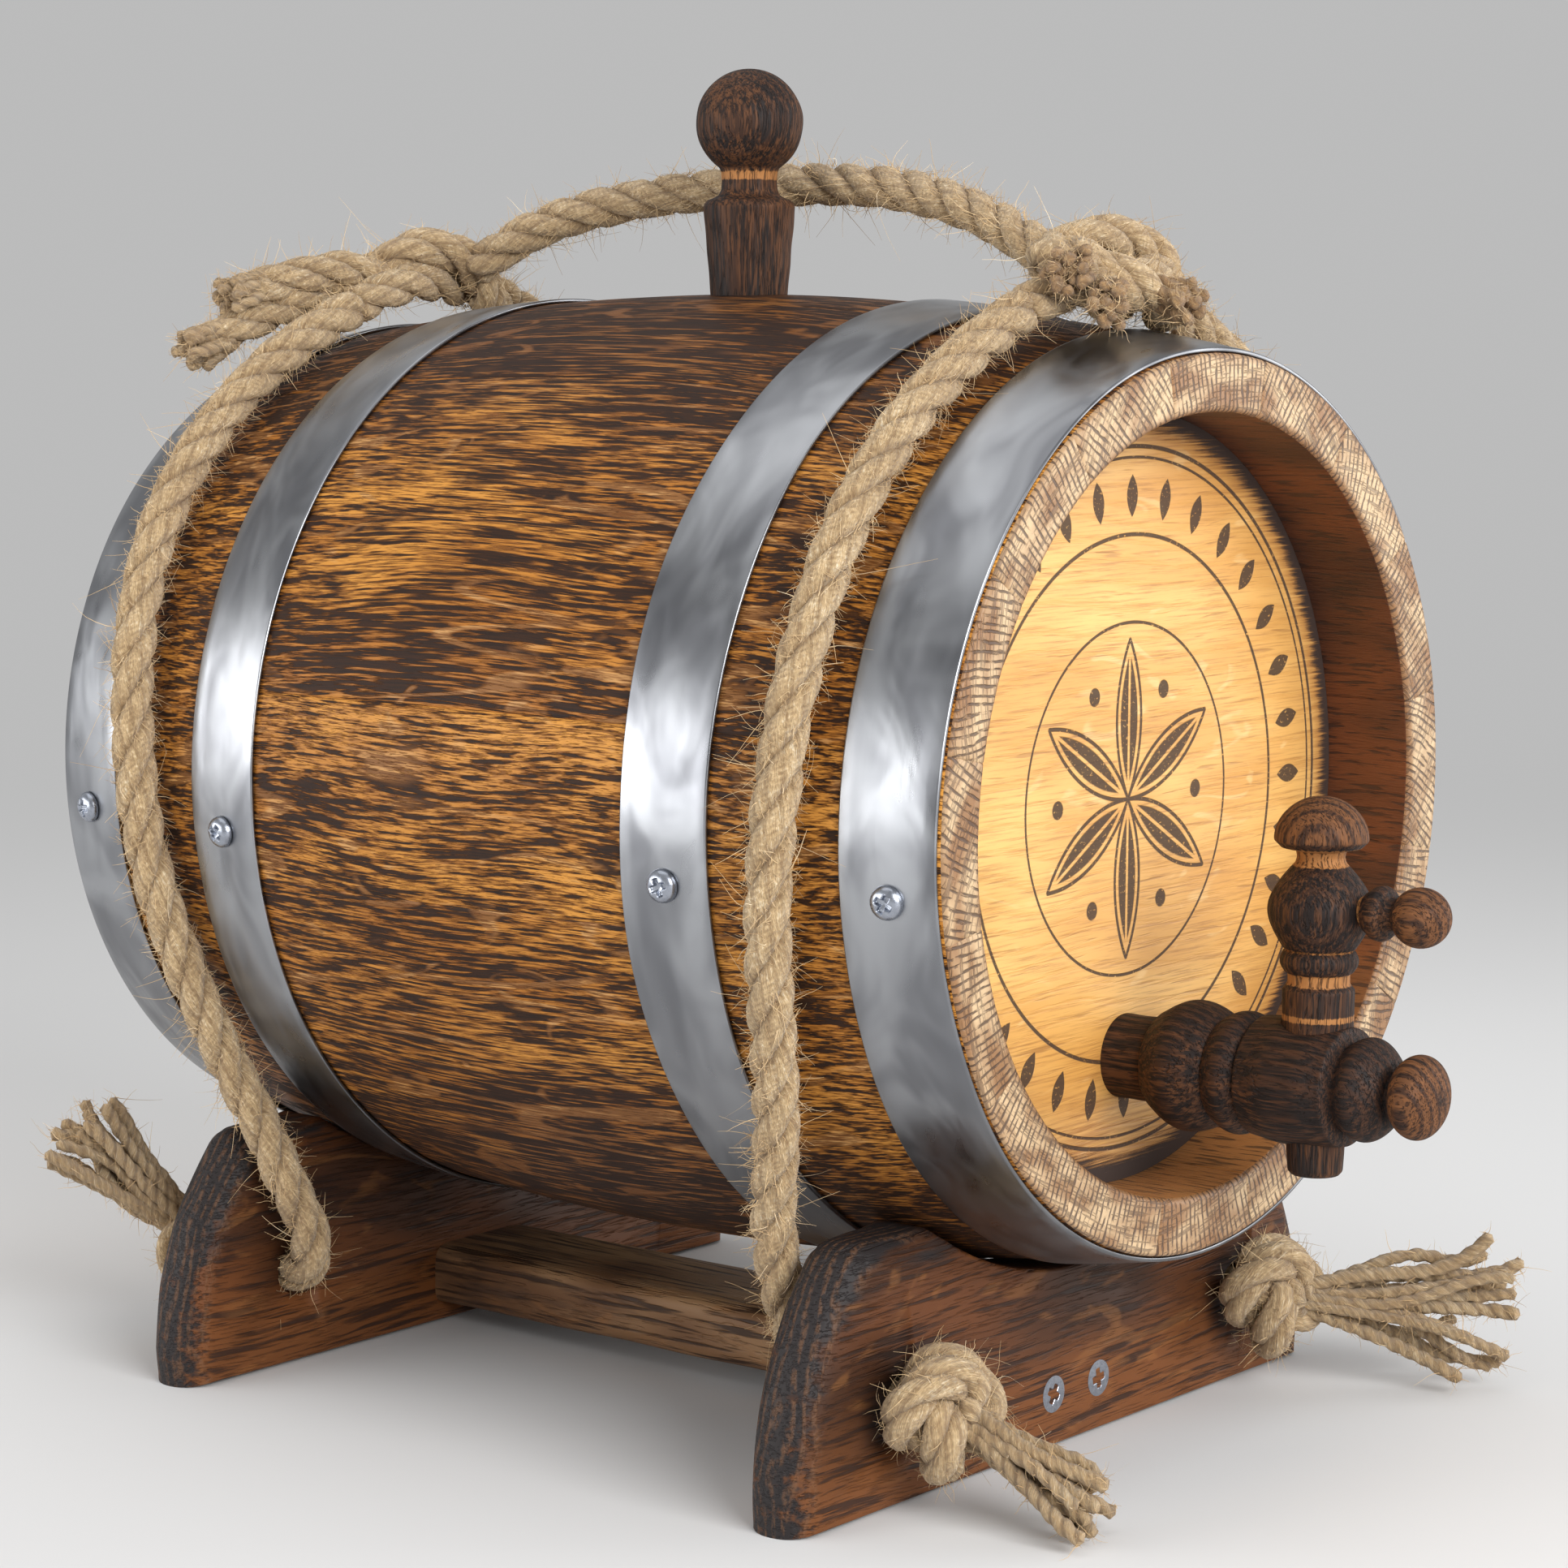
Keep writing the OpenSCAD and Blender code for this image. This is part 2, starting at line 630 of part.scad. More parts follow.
// A cradle board with its middle plane at the distance y. Its outer face is on the side y points to.
module cradle_board(y) {
    outer = sign(y);
    color(cradle_oak) difference() {
        at_cradle() translate([0, y, 0]) difference() {
            rotate([90, 0, 0]) linear_extrude(board_t, center = true) board_outline();
            for (side = [-1, 1])
                translate([side * rope_hole_x, 0, rope_hole_z]) rotate([90, 0, 0])
                    cylinder(h = board_t + 2 * eps, d = rope_d + 1, center = true, $fn = fine);
            for (side = [-1, 1])
                translate([side * wood_screw_gap / 2, outer * board_t / 2, stretcher_z])
                    rotate([-90 * outer, 0, 0]) wood_screw_hole(joint_gap);
        }
        at_cask() rotate([90, 0, 0]) cylinder(h = cask_len, r = saddle_r, center = true, $fn = arc_fn);
    }
}

module cradle_front() { cradle_board(-board_y); }
module cradle_rear() { cradle_board(board_y); }

// The stretcher between the boards, with rounded corners and the screws' pilot holes
module stretcher() {
    span = 2 * board_y - board_t;
    round_r = 3;
    color(cradle_oak) at_cradle() difference() {
        translate([0, 0, stretcher_z]) rotate([90, 0, 0]) linear_extrude(span, center = true) union() {
            square([stretcher_w - 2 * round_r, stretcher_t], center = true);
            square([stretcher_w, stretcher_t - 2 * round_r], center = true);
            for (x = [-1, 1])
                for (z = [-1, 1])
                    translate([x * (stretcher_w / 2 - round_r), z * (stretcher_t / 2 - round_r)])
                        circle(r = round_r, $fn = fine);
        }
        wood_screw_places() wood_screw_hole(joint_gap / 2);
    }
}

// The four places of the stretcher screws, on the boards' outer faces, with Z outwards
module wood_screw_places() {
    for (side = [-1, 1])
        for (end = [-1, 1])
            translate([side * wood_screw_gap / 2, end * (board_y + board_t / 2), stretcher_z])
                rotate([-90 * end, 0, 0]) children();
}

// The space of a countersunk screw, grown by gap
module wood_screw_hole(gap) {
    sink = (wood_head_d - wood_shank_d) / 2;
    shank = wood_shank_d + 2 * gap;
    head = wood_head_d + 2 * gap;
    translate([0, 0, -wood_screw_len - gap]) cylinder(h = wood_screw_len + gap, d = shank, $fn = fine);
    translate([0, 0, -sink]) cylinder(h = sink, d1 = shank, d2 = head, $fn = fine);
    cylinder(h = eps, d = head, $fn = fine);
}

module stretcher_screws() {
    sink = (wood_head_d - wood_shank_d) / 2;
    point = wood_shank_d;
    color(steel) at_cradle() wood_screw_places() difference() {
        union() {
            translate([0, 0, -sink]) cylinder(h = sink, d1 = wood_shank_d, d2 = wood_head_d, $fn = fine);
            translate([0, 0, point - wood_screw_len])
                cylinder(h = wood_screw_len - point, d = wood_shank_d, $fn = fine);
            translate([0, 0, -wood_screw_len]) cylinder(h = point, d1 = 0.5, d2 = wood_shank_d, $fn = fine);
        }
        cross_recess(wood_head_d * 0.5, sink * 0.8);
    }
}

module rope_front_left() { color(jute) at_cask() rope(front_left_route); }
module rope_front_right() { color(jute) at_cask() rope(front_right_route); }
module rope_rear_left() { color(jute) at_cask() rope(rear_left_route); }
module rope_rear_right() { color(jute) at_cask() rope(rear_right_route); }
module carry_rope() { color(jute) at_cask() rope(carry_route); }

// A knot on top of the cask, lying across it
module top_knot(place) {
    end_r = rope_d * 0.6;
    color(jute) at_cask() translate(place) rotate([0, 90, 0])
        turned(bead(-top_knot_len / 2, end_r, top_knot_len / 2, end_r, top_knot_d / 2 - end_r, 12));
}

module knot_front_top() { top_knot(front_knot); }
module knot_rear_top() { top_knot(rear_knot); }

// The mouth of a rope hole in a board's outer face
module at_hole(side, end) {
    at_cradle() translate([side * rope_hole_x, end * (board_y + board_t / 2), rope_hole_z]) children();
}

// A knot against a board's outer face, in front of the rope hole on one side
module board_knot(side, end) {
    end_r = rope_d * 0.3;
    color(jute) at_hole(side, end) translate([0, end * (board_knot_d / 2 + soft_gap), 0])
        turned(bead(-board_knot_h / 2, end_r, board_knot_h / 2, end_r, board_knot_d / 2 - end_r, 12));
}

module knot_front_left() { board_knot(-1, -1); }
module knot_front_right() { board_knot(1, -1); }
module knot_rear_left() { board_knot(-1, 1); }
module knot_rear_right() { board_knot(1, 1); }

// A frayed tassel, which widens from the knot to its end
module tassel(side, end, ends) {
    color(jute) at_hole(side, end) bar(ends[0], ends[1], tassel_root_r, tassel_end_r);
}

module tassel_front_left() { tassel(-1, -1, front_left_tassel); }
module tassel_front_right() { tassel(1, -1, front_right_tassel); }
module tassel_rear_left() { tassel(-1, 1, rear_left_tassel); }
module tassel_rear_right() { tassel(1, 1, rear_right_tassel); }

module rope_ends(ends) {
    color(jute) at_cask() for (end = ends) bar(end[0], end[1], rope_d / 2, rope_d / 2);
}

module rope_ends_front() { rope_ends(front_ends); }
module rope_ends_rear() { rope_ends(rear_ends); }

// Node names count the staves with two digits
function stave_name(i) = str("stave_", i < 10 ? "0" : "", i);

for (i = [1 : stave_count]) stave(i);
front_head_top();
front_head_middle();
front_head_bottom();
front_head_dowels();
rear_head_top();
rear_head_middle();
rear_head_bottom();
rear_head_dowels();
hoop(-head_hoop_mid);  // head_hoop_front
hoop(-quarter_hoop_mid);  // quarter_hoop_front
hoop(quarter_hoop_mid);  // quarter_hoop_rear
hoop(head_hoop_mid);  // head_hoop_rear
hoop_screws();
bung();
tap_body();
tap_key();
key_handle();
cradle_front();
cradle_rear();
stretcher();
stretcher_screws();
rope_front_left();
rope_front_right();
rope_rear_left();
rope_rear_right();
carry_rope();
knot_front_top();
knot_rear_top();
knot_front_left();
knot_front_right();
knot_rear_left();
knot_rear_right();
tassel_front_left();
tassel_front_right();
tassel_rear_left();
tassel_rear_right();
rope_ends_front();
rope_ends_rear();
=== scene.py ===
"""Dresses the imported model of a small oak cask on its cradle: wood, steel, rope and light."""

import logging
import math
from dataclasses import dataclass, field
from enum import Enum

import bmesh
import bpy
import numpy as np
from mathutils import Matrix


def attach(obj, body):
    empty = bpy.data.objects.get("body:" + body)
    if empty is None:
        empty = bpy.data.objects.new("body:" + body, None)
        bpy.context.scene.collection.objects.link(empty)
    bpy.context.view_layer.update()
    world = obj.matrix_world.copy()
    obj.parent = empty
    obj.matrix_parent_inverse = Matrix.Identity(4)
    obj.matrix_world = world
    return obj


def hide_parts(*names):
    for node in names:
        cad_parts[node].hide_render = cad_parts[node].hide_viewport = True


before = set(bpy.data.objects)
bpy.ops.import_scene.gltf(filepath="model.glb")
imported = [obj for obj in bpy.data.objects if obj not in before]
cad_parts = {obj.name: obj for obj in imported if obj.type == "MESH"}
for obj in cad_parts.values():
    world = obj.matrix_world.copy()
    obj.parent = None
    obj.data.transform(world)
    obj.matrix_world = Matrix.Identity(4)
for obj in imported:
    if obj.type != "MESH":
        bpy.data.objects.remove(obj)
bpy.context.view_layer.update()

log = logging.getLogger("cask")
Array = np.ndarray
Socket = bpy.types.NodeSocket
Sockets = dict[str, bpy.types.NodeSocket]
Colour = tuple[float, float, float]

# Strength of the backdrop's even light.
BACKDROP = 0.5
# Middle of the cask in the row frame, in millimetres. Every piece is worked out round it.
CASK_MIDDLE = np.array([0.0, 28.0, 140.0])
# Height of the ground, in millimetres from the middle of the cask.
GROUND = -140.0
STAVES = 16
# Turns a piece that is built along Z so that it points out of the front head, or out of the rear one.
OUT_OF_FRONT = np.array([[1, 0, 0], [0, 0, -1], [0, 1, 0]])
OUT_OF_REAR = np.array([[1, 0, 0], [0, 0, 1], [0, -1, 0]])
# Wear values of turned wood: where the char never took, where it is whole, and where hands have rubbed it thin.
BARE, SOOTY, RUBBED = -1.1, -0.15, 1.0


class Body(str, Enum):
    """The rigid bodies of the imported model."""

    CASK = "cask"
    BUNG = "bung"
    TAP = "tap"
    KEY = "key"


class End(str, Enum):
    """The two ends of the cask, as the CAD nodes' names have them."""

    FRONT = "front"
    REAR = "rear"

    def sign(self) -> int:
        """The end's side of the cask's middle along Y."""
        return -1 if self is End.FRONT else 1


# ---------------------------------------------------------------- numbers and surfaces


def unit(vectors: Array) -> Array:
    """Vectors scaled to length 1 along their last axis."""
    return vectors / np.maximum(np.linalg.norm(vectors, axis=-1, keepdims=True), 1e-12)


def ring_of(count: int) -> Array:
    """Even angles once round, in radians."""
    return np.linspace(0, math.tau, count, endpoint=False)


def smooth(low: float, high: float, values: Array) -> Array:
    """A soft step from 0 at low to 1 at high: 3t^2 - 2t^3."""
    t = np.clip((values - low) / (high - low), 0, 1)
    return t * t * (3 - 2 * t)


def ripple(seed: int, *phases: Array, waves: int = 7, reach: float = 6.0) -> Array:
    """A gentle random swell between about -1 and 1: a sum of sines of the phases.

    Args:
        seed: Picks the swell.
        phases: Arrays that broadcast together. An angle in radians stays seamless.
        waves: How many sines are added.
        reach: The highest whole frequency.

    Returns:
        The swell, with the phases' common shape.
    """
    rng = np.random.default_rng(seed)
    total = np.zeros(np.broadcast(*phases).shape)
    for _ in range(waves):
        turn = sum(float(rng.integers(-int(reach), int(reach) + 1)) * p for p in phases)
        total = total + np.sin(turn + rng.uniform(0, math.tau)) * rng.uniform(0.5, 1.0)
    return total / math.sqrt(waves)


def smooth_path(points: list[list[float]] | Array, step: float = 1.0) -> Array:
    """A smooth curve through the points, as stations an even step apart.

    Each span is a Catmull-Rom cubic, and the stations are spaced by arc length.

    Args:
        points: The points the curve passes through, in millimetres.
        step: Distance between stations.

    Returns:
        The stations, one row each.
    """
    p = np.asarray(points, float)
    p = np.vstack([2 * p[0] - p[1], p, 2 * p[-1] - p[-2]])
    t = np.linspace(0, 1, 20, endpoint=False)[None, :, None]
    a, b, c, d = (p[k:len(p) - 3 + k, None, :] for k in range(4))
    curve = 0.5 * (2 * b + (c - a) * t + (2 * a - 5 * b + 4 * c - d) * t**2 + (3 * b - a - 3 * c + d) * t**3)
    curve = np.vstack([curve.reshape(-1, 3), p[-2:-1]])
    run = run_along(curve)
    stations = np.linspace(0, run[-1], max(6, int(round(run[-1] / step)) + 1))
    return np.stack([np.interp(stations, run, curve[:, k]) for k in range(3)], axis=1)


def run_along(path: Array) -> Array:
    """How far along a path each of its stations is."""
    return np.r_[0, np.cumsum(np.linalg.norm(np.diff(path, axis=0), axis=1))]


def path_length(path: Array) -> float:
    """The length of a path, in its own units."""
    return float(np.linalg.norm(np.diff(path, axis=0), axis=1).sum())


def carried_frames(path: Array) -> tuple[Array, Array, Array]:
    """Directions along, across and up at each station, carried along without twisting.

    Args:
        path: Stations, one row each.

    Returns:
        Three arrays of unit vectors, shaped like the path.
    """
    along = unit(np.gradient(path, axis=0))
    across = np.empty_like(along)
    across[0] = np.eye(3)[int(np.argmin(np.abs(along[0])))]
    for i in range(len(path)):
        before = across[max(i - 1, 0)]
        across[i] = unit(before - (before @ along[i]) * along[i])
    return along, across, np.cross(along, across)


@dataclass
class Shell:
    """Points and four-cornered faces, with a UV place per corner, a value per point for wear and for painted
    crease shade, and a finish per face.
    """

    points: Array
    faces: Array
    uv: Array
    wear: Array
    finish: Array
    caps: list[list[int]] = field(default_factory=list)
    cap_finish: list[int] = field(default_factory=list)

    def moved(self, matrix: Array, shift: Array | list[float] = (0, 0, 0)) -> "Shell":
        """A copy whose points are turned by a 3 by 3 matrix and then shifted."""
        points = self.points @ np.asarray(matrix, float).T + np.asarray(shift, float)
        return Shell(points, self.faces, self.uv, self.wear, self.finish, self.caps, self.cap_finish)

    def capped(self, count: int, finish: int) -> "Shell":
        """The same shell, with its first and its last row of count points closed by flat faces."""
        last = len(self.points) - count
        self.caps = [list(range(count)), list(range(last, last + count))[::-1]]
        self.cap_finish = [finish, finish]
        return self


def grid(
    points: Array,
    closed: bool = True,
    wear: Array | float = 0.0,
    finish: Array | int = 0,
    uv_size: tuple[float, float] = (1.0, 1.0),
) -> Shell:
    """A surface over a grid of points: rows along it, columns round it.

    Args:
        points: Rows by columns by three.
        closed: True if the last column joins the first.
        wear: One value per point, or one for all.
        finish: One finish number per column of faces, or one for all.
        uv_size: What the UV reaches at the last row and after the last column.

    Returns:
        The shell.
    """
    rows, cols = points.shape[:2]
    i, j = np.meshgrid(np.arange(rows - 1), np.arange(cols if closed else cols - 1), indexing="ij")
    k = (j + 1) % cols
    faces = np.stack([i * cols + j, (i + 1) * cols + j, (i + 1) * cols + k, i * cols + k], -1).reshape(-1, 4)
    u = np.stack([i, i + 1, i + 1, i], -1) / (rows - 1) * uv_size[0]
    v = np.stack([j, j, j + 1, j + 1], -1) / cols * uv_size[1]
    wear = np.broadcast_to(np.asarray(wear, float), (rows, cols)).ravel()
    finish = np.broadcast_to(np.asarray(finish), j.shape).ravel()
    return Shell(points.reshape(-1, 3), faces, np.stack([u, v], -1).reshape(-1, 4, 2), wear, finish)


def joined(shells: list[Shell]) -> Shell:
    """Several shells as one, each still closed by itself."""
    starts = np.cumsum([0] + [len(s.points) for s in shells])
    return Shell(
        np.vstack([s.points for s in shells]),
        np.vstack([s.faces + n for s, n in zip(shells, starts)]),
        np.vstack([s.uv for s in shells]),
        np.concatenate([s.wear for s in shells]),
        np.concatenate([s.finish for s in shells]),
        [[i + int(n) for i in cap] for s, n in zip(shells, starts) for cap in s.caps],
        [f for s in shells for f in s.cap_finish],
    )


def turned(
    outline: Array,
    sides: int = 72,
    rough: float = 0.0,
    seed: int = 1,
    zones: tuple[tuple[float, float, float], ...] = (),
    deepest: float = -1.0,
) -> Shell:
    """A turned piece round Z. Each point is (r cos a, r sin a, z), and r is 0 at both ends.

    The wear value is how far a ridge stands above its surroundings, or a groove below them.

    Args:
        outline: Radius and height along the piece, one row each.
        sides: Points round it.
        rough: How far hand work leaves it from round, in millimetres.
        seed: Picks the unevenness.
        zones: Rows of low height, high height and the wear between them, where it isn't the shape's own.
        deepest: The least wear that the shape alone gives its grooves.

    Returns:
        The closed shell.
    """
    r, z = outline[:, 0], outline[:, 1]
    run = np.r_[0, np.cumsum(np.hypot(np.diff(r), np.diff(z)))]
    even = np.linspace(0, run[-1], max(24, int(run[-1] / 0.45)))
    r, z = np.interp(even, run, r), np.interp(even, run, z)
    window = np.ones(11) / 11
    around = np.convolve(np.pad(r, 5, mode="edge"), window, mode="valid")
    wear = np.clip((r - around) / 0.9, deepest, 1) * smooth(0, 2, even) * smooth(0, 2, even[-1] - even)
    for low, high, worn in zones:
        zone = smooth(low - 0.5, low + 0.5, z) * smooth(high + 0.5, high - 0.5, z)
        wear = wear + (worn - wear) * zone
    a = ring_of(sides)
    swell = 1 + rough * ripple(seed, a[None, :], z[:, None] * 0.25, reach=3) / np.maximum(r, 3)[:, None]
    r = np.concatenate([[0], r[1:-1], [0]])
    ring = r[:, None] * swell
    points = np.stack([ring * np.cos(a), ring * np.sin(a), z[:, None] + 0 * ring], -1)
    return grid(points, wear=np.repeat(wear[:, None], sides, 1), uv_size=(run[-1] / 100, 1))


def bead(z0: float, r0: float, z1: float, r1: float, swell: float, steps: int = 26) -> Array:
    """A turned bead's outline: a straight run between two points, plus half a sine wave.

    Args:
        z0: Height of the first point.
        r0: Radius of the first point.
        z1: Height of the last point.
        r1: Radius of the last point.
        swell: How high the wave stands.
        steps: How many points the outline has.

    Returns:
        Rows of radius and height.
    """
    k = np.linspace(0, 1, steps)
    return np.stack([r0 + (r1 - r0) * k + swell * np.sin(math.pi * k), z0 + (z1 - z0) * k], 1)


def ball(z: float, r: float, low: float = -80, high: float = 90) -> Array:
    """A ball's outline from one latitude to another: radius r cos a at height z + r sin a."""
    a = np.radians(np.linspace(low, high, 40))
    return np.stack([r * np.cos(a), z + r * np.sin(a)], 1)


def spun(outline: Array, sides: int) -> Shell:
    """A plain surface of revolution round Z: (r cos a, r sin a, z), from rows of radius and height."""
    r, z, a = outline[:, :1], outline[:, 1:], ring_of(sides)
    return grid(np.stack([r * np.cos(a), r * np.sin(a), z + 0 * a], -1))


def rod(low: float, high: float, low_r: float, high_r: float | None = None, sides: int = 48) -> Shell:
    """A round cutter along Z.

    Args:
        low: Height of its low end.
        high: Height of its high end.
        low_r: Radius at the low end.
        high_r: Radius at the high end, where it tapers.
        sides: Points round it.

    Returns:
        The closed shell.
    """
    top_r = low_r if high_r is None else high_r
    return spun(np.array([[0, low], [low_r, low], [top_r, high], [0, high]]), sides)


def make_piece(name: str, shell: Shell, finishes: list["Finish"], sharp: float = 40.0) -> bpy.types.Object:
    """Makes a mesh object of a shell in the row frame, closed and facing outwards.

    Args:
        name: The piece's name.
        shell: Its surface, in millimetres round the middle of the cask.
        finishes: Its finishes, in the order of the shell's finish numbers.
        sharp: Edges that turn by more than this many degrees stay sharp.

    Returns:
        The new object.
    """
    mesh = bpy.data.meshes.new(name)
    points = (shell.points + CASK_MIDDLE) / 1000
    mesh.from_pydata(points.tolist(), [], shell.faces.tolist() + shell.caps)
    uv = np.vstack([shell.uv.reshape(-1, 2), np.zeros((sum(map(len, shell.caps)), 2))])
    mesh.uv_layers.new(name="UVMap").uv.foreach_set("vector", uv.ravel())
    mesh.attributes.new("wear", "FLOAT", "POINT").data.foreach_set("value", shell.wear)
    number = np.concatenate([shell.finish, np.asarray(shell.cap_finish, int)])
    mesh.polygons.foreach_set("material_index", number.astype(np.int32))
    for finish in finishes:
        mesh.materials.append(finish.material())
    work = bmesh.new()
    work.from_mesh(mesh)
    bmesh.ops.remove_doubles(work, verts=work.verts, dist=2e-7)
    bmesh.ops.dissolve_degenerate(work, edges=work.edges, dist=1e-8)
    bmesh.ops.recalc_face_normals(work, faces=work.faces)
    work.to_mesh(mesh)
    work.free()
    mesh.shade_smooth()
    mesh.set_sharp_from_angle(angle=math.radians(sharp))
    piece = bpy.data.objects.new(name, mesh)
    bpy.context.collection.objects.link(piece)
    return piece


def cut(piece: bpy.types.Object, cutters: list[Shell]) -> None:
    """Cuts holes out of a piece, and keeps its other faces as they are.

    Args:
        piece: The piece to cut.
        cutters: Closed shells in the shapes of the holes.
    """
    tools = [make_piece(f"{piece.name}_cutter_{k}", shell, []) for k, shell in enumerate(cutters)]
    for tool in tools:
        step = piece.modifiers.new("hole", "BOOLEAN")
        step.operation = "DIFFERENCE"
        step.solver = "EXACT"
        step.object = tool
    graph = bpy.context.evaluated_depsgraph_get()
    mesh = bpy.data.meshes.new_from_object(piece.evaluated_get(graph))
    piece.modifiers.clear()
    piece.data = mesh
    for tool in tools:
        bpy.data.objects.remove(tool)


def place(piece: bpy.types.Object, body: Body, slot: str, *nodes: str) -> bpy.types.Object:
    """Hangs a piece on its body and reports it.

    Args:
        piece: The piece.
        body: The body that it moves with.
        slot: The name of a material slot. It is not used.
        nodes: The CAD nodes that it stands in for, if any.

    Returns:
        The piece.
    """
    if nodes:
        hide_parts(*nodes)
    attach(piece, body.value)
    log.info("%s rides on %s for %s", piece.name, body.value, ", ".join(nodes) or "itself")
    return piece


# ---------------------------------------------------------------- finishes


class Value:
    """A number in a shader tree. Arithmetic on it adds the nodes that work it out."""

    def __init__(self, paint: "Painter", socket: Socket) -> None:
        """Holds a socket of the painter's tree."""
        self.paint, self.socket = paint, socket

    def __add__(self, other: object) -> "Value":
        """The sum."""
        return self.paint.math("ADD", self, other)

    def __sub__(self, other: object) -> "Value":
        """The difference."""
        return self.paint.math("SUBTRACT", self, other)

    def __rsub__(self, other: float) -> "Value":
        """A plain number less this one."""
        return self.paint.math("SUBTRACT", other, self)

    def __mul__(self, other: object) -> "Value":
        """The product."""
        return self.paint.math("MULTIPLY", self, other)

    def __truediv__(self, other: object) -> "Value":
        """The quotient."""
        return self.paint.math("DIVIDE", self, other)

    def __abs__(self) -> "Value":
        """The value without its sign."""
        return self.paint.math("ABSOLUTE", self)


class Painter:
    """Adds nodes to one shader tree."""

    def __init__(self, tree: bpy.types.NodeTree) -> None:
        """Starts on a tree."""
        self.tree = tree

    def node(self, kind: str, inputs: dict | None = None, **settings: object) -> bpy.types.Node:
        """Adds a node, with its settings, and feeds its inputs with values or sockets."""
        made = self.tree.nodes.new(kind)
        for key, value in settings.items():
            setattr(made, key, value)
        for key, value in (inputs or {}).items():
            self.feed(made.inputs[key], value)
        return made

    def feed(self, socket: Socket, value: object) -> None:
        """Links a socket to another, or sets its value."""
        value = value.socket if isinstance(value, Value) else value
        if isinstance(value, Socket):
            self.tree.links.new(value, socket)
        elif socket.type == "RGBA":
            socket.default_value = (*value[:3], 1.0)
        else:
            socket.default_value = value

    def math(self, kind: str, a: object, b: object = 0.0, clamp: bool = False) -> Value:
        """One step of arithmetic."""
        made = self.node("ShaderNodeMath", {0: a, 1: b}, operation=kind, use_clamp=clamp)
        return Value(self, made.outputs[0])

    def most(self, *values: Value) -> Value:
        """The greatest of several values."""
        best = values[0]
        for value in values[1:]:
            best = self.math("MAXIMUM", best, value)
        return best

    def length(self, x: Value, y: Value) -> Value:
        """The length of a flat vector."""
        return self.math("SQRT", x * x + y * y)

    def sector(self, x: Value, z: Value, count: int) -> tuple[Value, Value]:
        """Which of count even sectors round Y a place is in, and how far it is from that one's middle line."""
        turn = self.math("ARCTAN2", x, z) * (count / math.tau)
        whole = self.math("ROUND", turn)
        return whole, turn - whole

    def stave(self, x: Value, z: Value) -> tuple[Value, Value, Value]:
        """The number of a place's stave, the place's share across it, and a random value of that stave."""
        whole, across = self.sector(x, z, STAVES)
        number = self.math("FLOORED_MODULO", whole, float(STAVES))
        chance = self.node("ShaderNodeTexWhiteNoise", {"W": number}, noise_dimensions="1D").outputs["Value"]
        return number, across, Value(self, chance)

    def vector(self, kind: str, a: object, b: object = (0, 0, 0)) -> Socket:
        """One step of arithmetic on vectors."""
        return self.node("ShaderNodeVectorMath", {0: a, 1: b}, operation=kind).outputs[0]

    def step(self, value: Value, low: float, high: float) -> Value:
        """A soft step from 0 at low to 1 at high, or the other way round."""
        inputs = {"Value": value, "From Min": low, "From Max": high}
        return Value(self, self.node("ShaderNodeMapRange", inputs, interpolation_type="SMOOTHSTEP").outputs[0])

    def mix(self, factor: object, a: object, b: object) -> Socket:
        """Mixes two colours."""
        made = self.node("ShaderNodeMix", data_type="RGBA", blend_type="MIX", clamp_factor=True)
        for index, value in ((0, factor), (6, a), (7, b)):
            self.feed(made.inputs[index], value)
        return made.outputs[2]

    def noise(
        self, place: object, scale: object = 1.0, detail: float = 3.0, rough: float = 0.55, warp: float = 0.0
    ) -> Value:
        """Soft noise between 0 and 1.

        Args:
            place: Where the noise is looked up.
            scale: How fine it is, or three numbers that stretch the place first.
            detail: How many finer layers it has.
            rough: How strong they are.
            warp: How far it is stirred.

        Returns:
            The noise's value.
        """
        if isinstance(scale, tuple):
            place, scale = self.vector("MULTIPLY", place, scale), 1.0
        inputs = {"Vector": place, "Scale": scale, "Detail": detail, "Roughness": rough, "Distortion": warp}
        return Value(self, self.node("ShaderNodeTexNoise", inputs).outputs[0])

    def combine(self, x: object, y: object, z: object = 0.0) -> Socket:
        """A vector of three numbers."""
        return self.node("ShaderNodeCombineXYZ", {0: x, 1: y, 2: z}).outputs[0]

    def split(self, vector: object) -> list[Value]:
        """The three numbers of a vector."""
        return [Value(self, part) for part in self.node("ShaderNodeSeparateXYZ", {0: vector}).outputs]

    def place(self) -> Socket:
        """Where the surface is, in the row frame, in metres."""
        return self.node("ShaderNodeTexCoord").outputs["Object"]

    def from_middle(self, middle: object = CASK_MIDDLE) -> list[Value]:
        """How far the surface is from the middle of the cask, or from another point given in millimetres."""
        return self.split(self.vector("SUBTRACT", self.place(), tuple(np.asarray(middle) / 1000)))

    def wear(self) -> Value:
        """The wear value that a piece carries: above 0 on ridges, below 0 in grooves. On rope it stands for
        painted shade in the grooves.
        """
        return Value(self, self.node("ShaderNodeAttribute", attribute_name="wear").outputs["Fac"])

    def bump(self, height: Value, depth: float, normal: Socket | None = None) -> Socket:
        """A normal that stands for a height, with its depth in metres."""
        inputs = {"Height": height, "Distance": depth, "Strength": 1.0}
        if normal is not None:
            inputs["Normal"] = normal
        return self.node("ShaderNodeBump", inputs).outputs[0]

    def coat(
        self, shader: bpy.types.Node, colour: Socket, height: Value, depth: float, gloss: Value | None = None
    ) -> None:
        """Feeds a shader what varies over the surface.

        Args:
            shader: The principled shader.
            colour: Its base colour.
            height: The height that its normal stands for.
            depth: How deep a height of 1 is, in metres.
            gloss: Its roughness, where that isn't the same everywhere.
        """
        self.feed(shader.inputs["Base Color"], colour)
        self.feed(shader.inputs["Normal"], self.bump(height, depth))
        if gloss is not None:
            self.feed(shader.inputs["Roughness"], gloss)

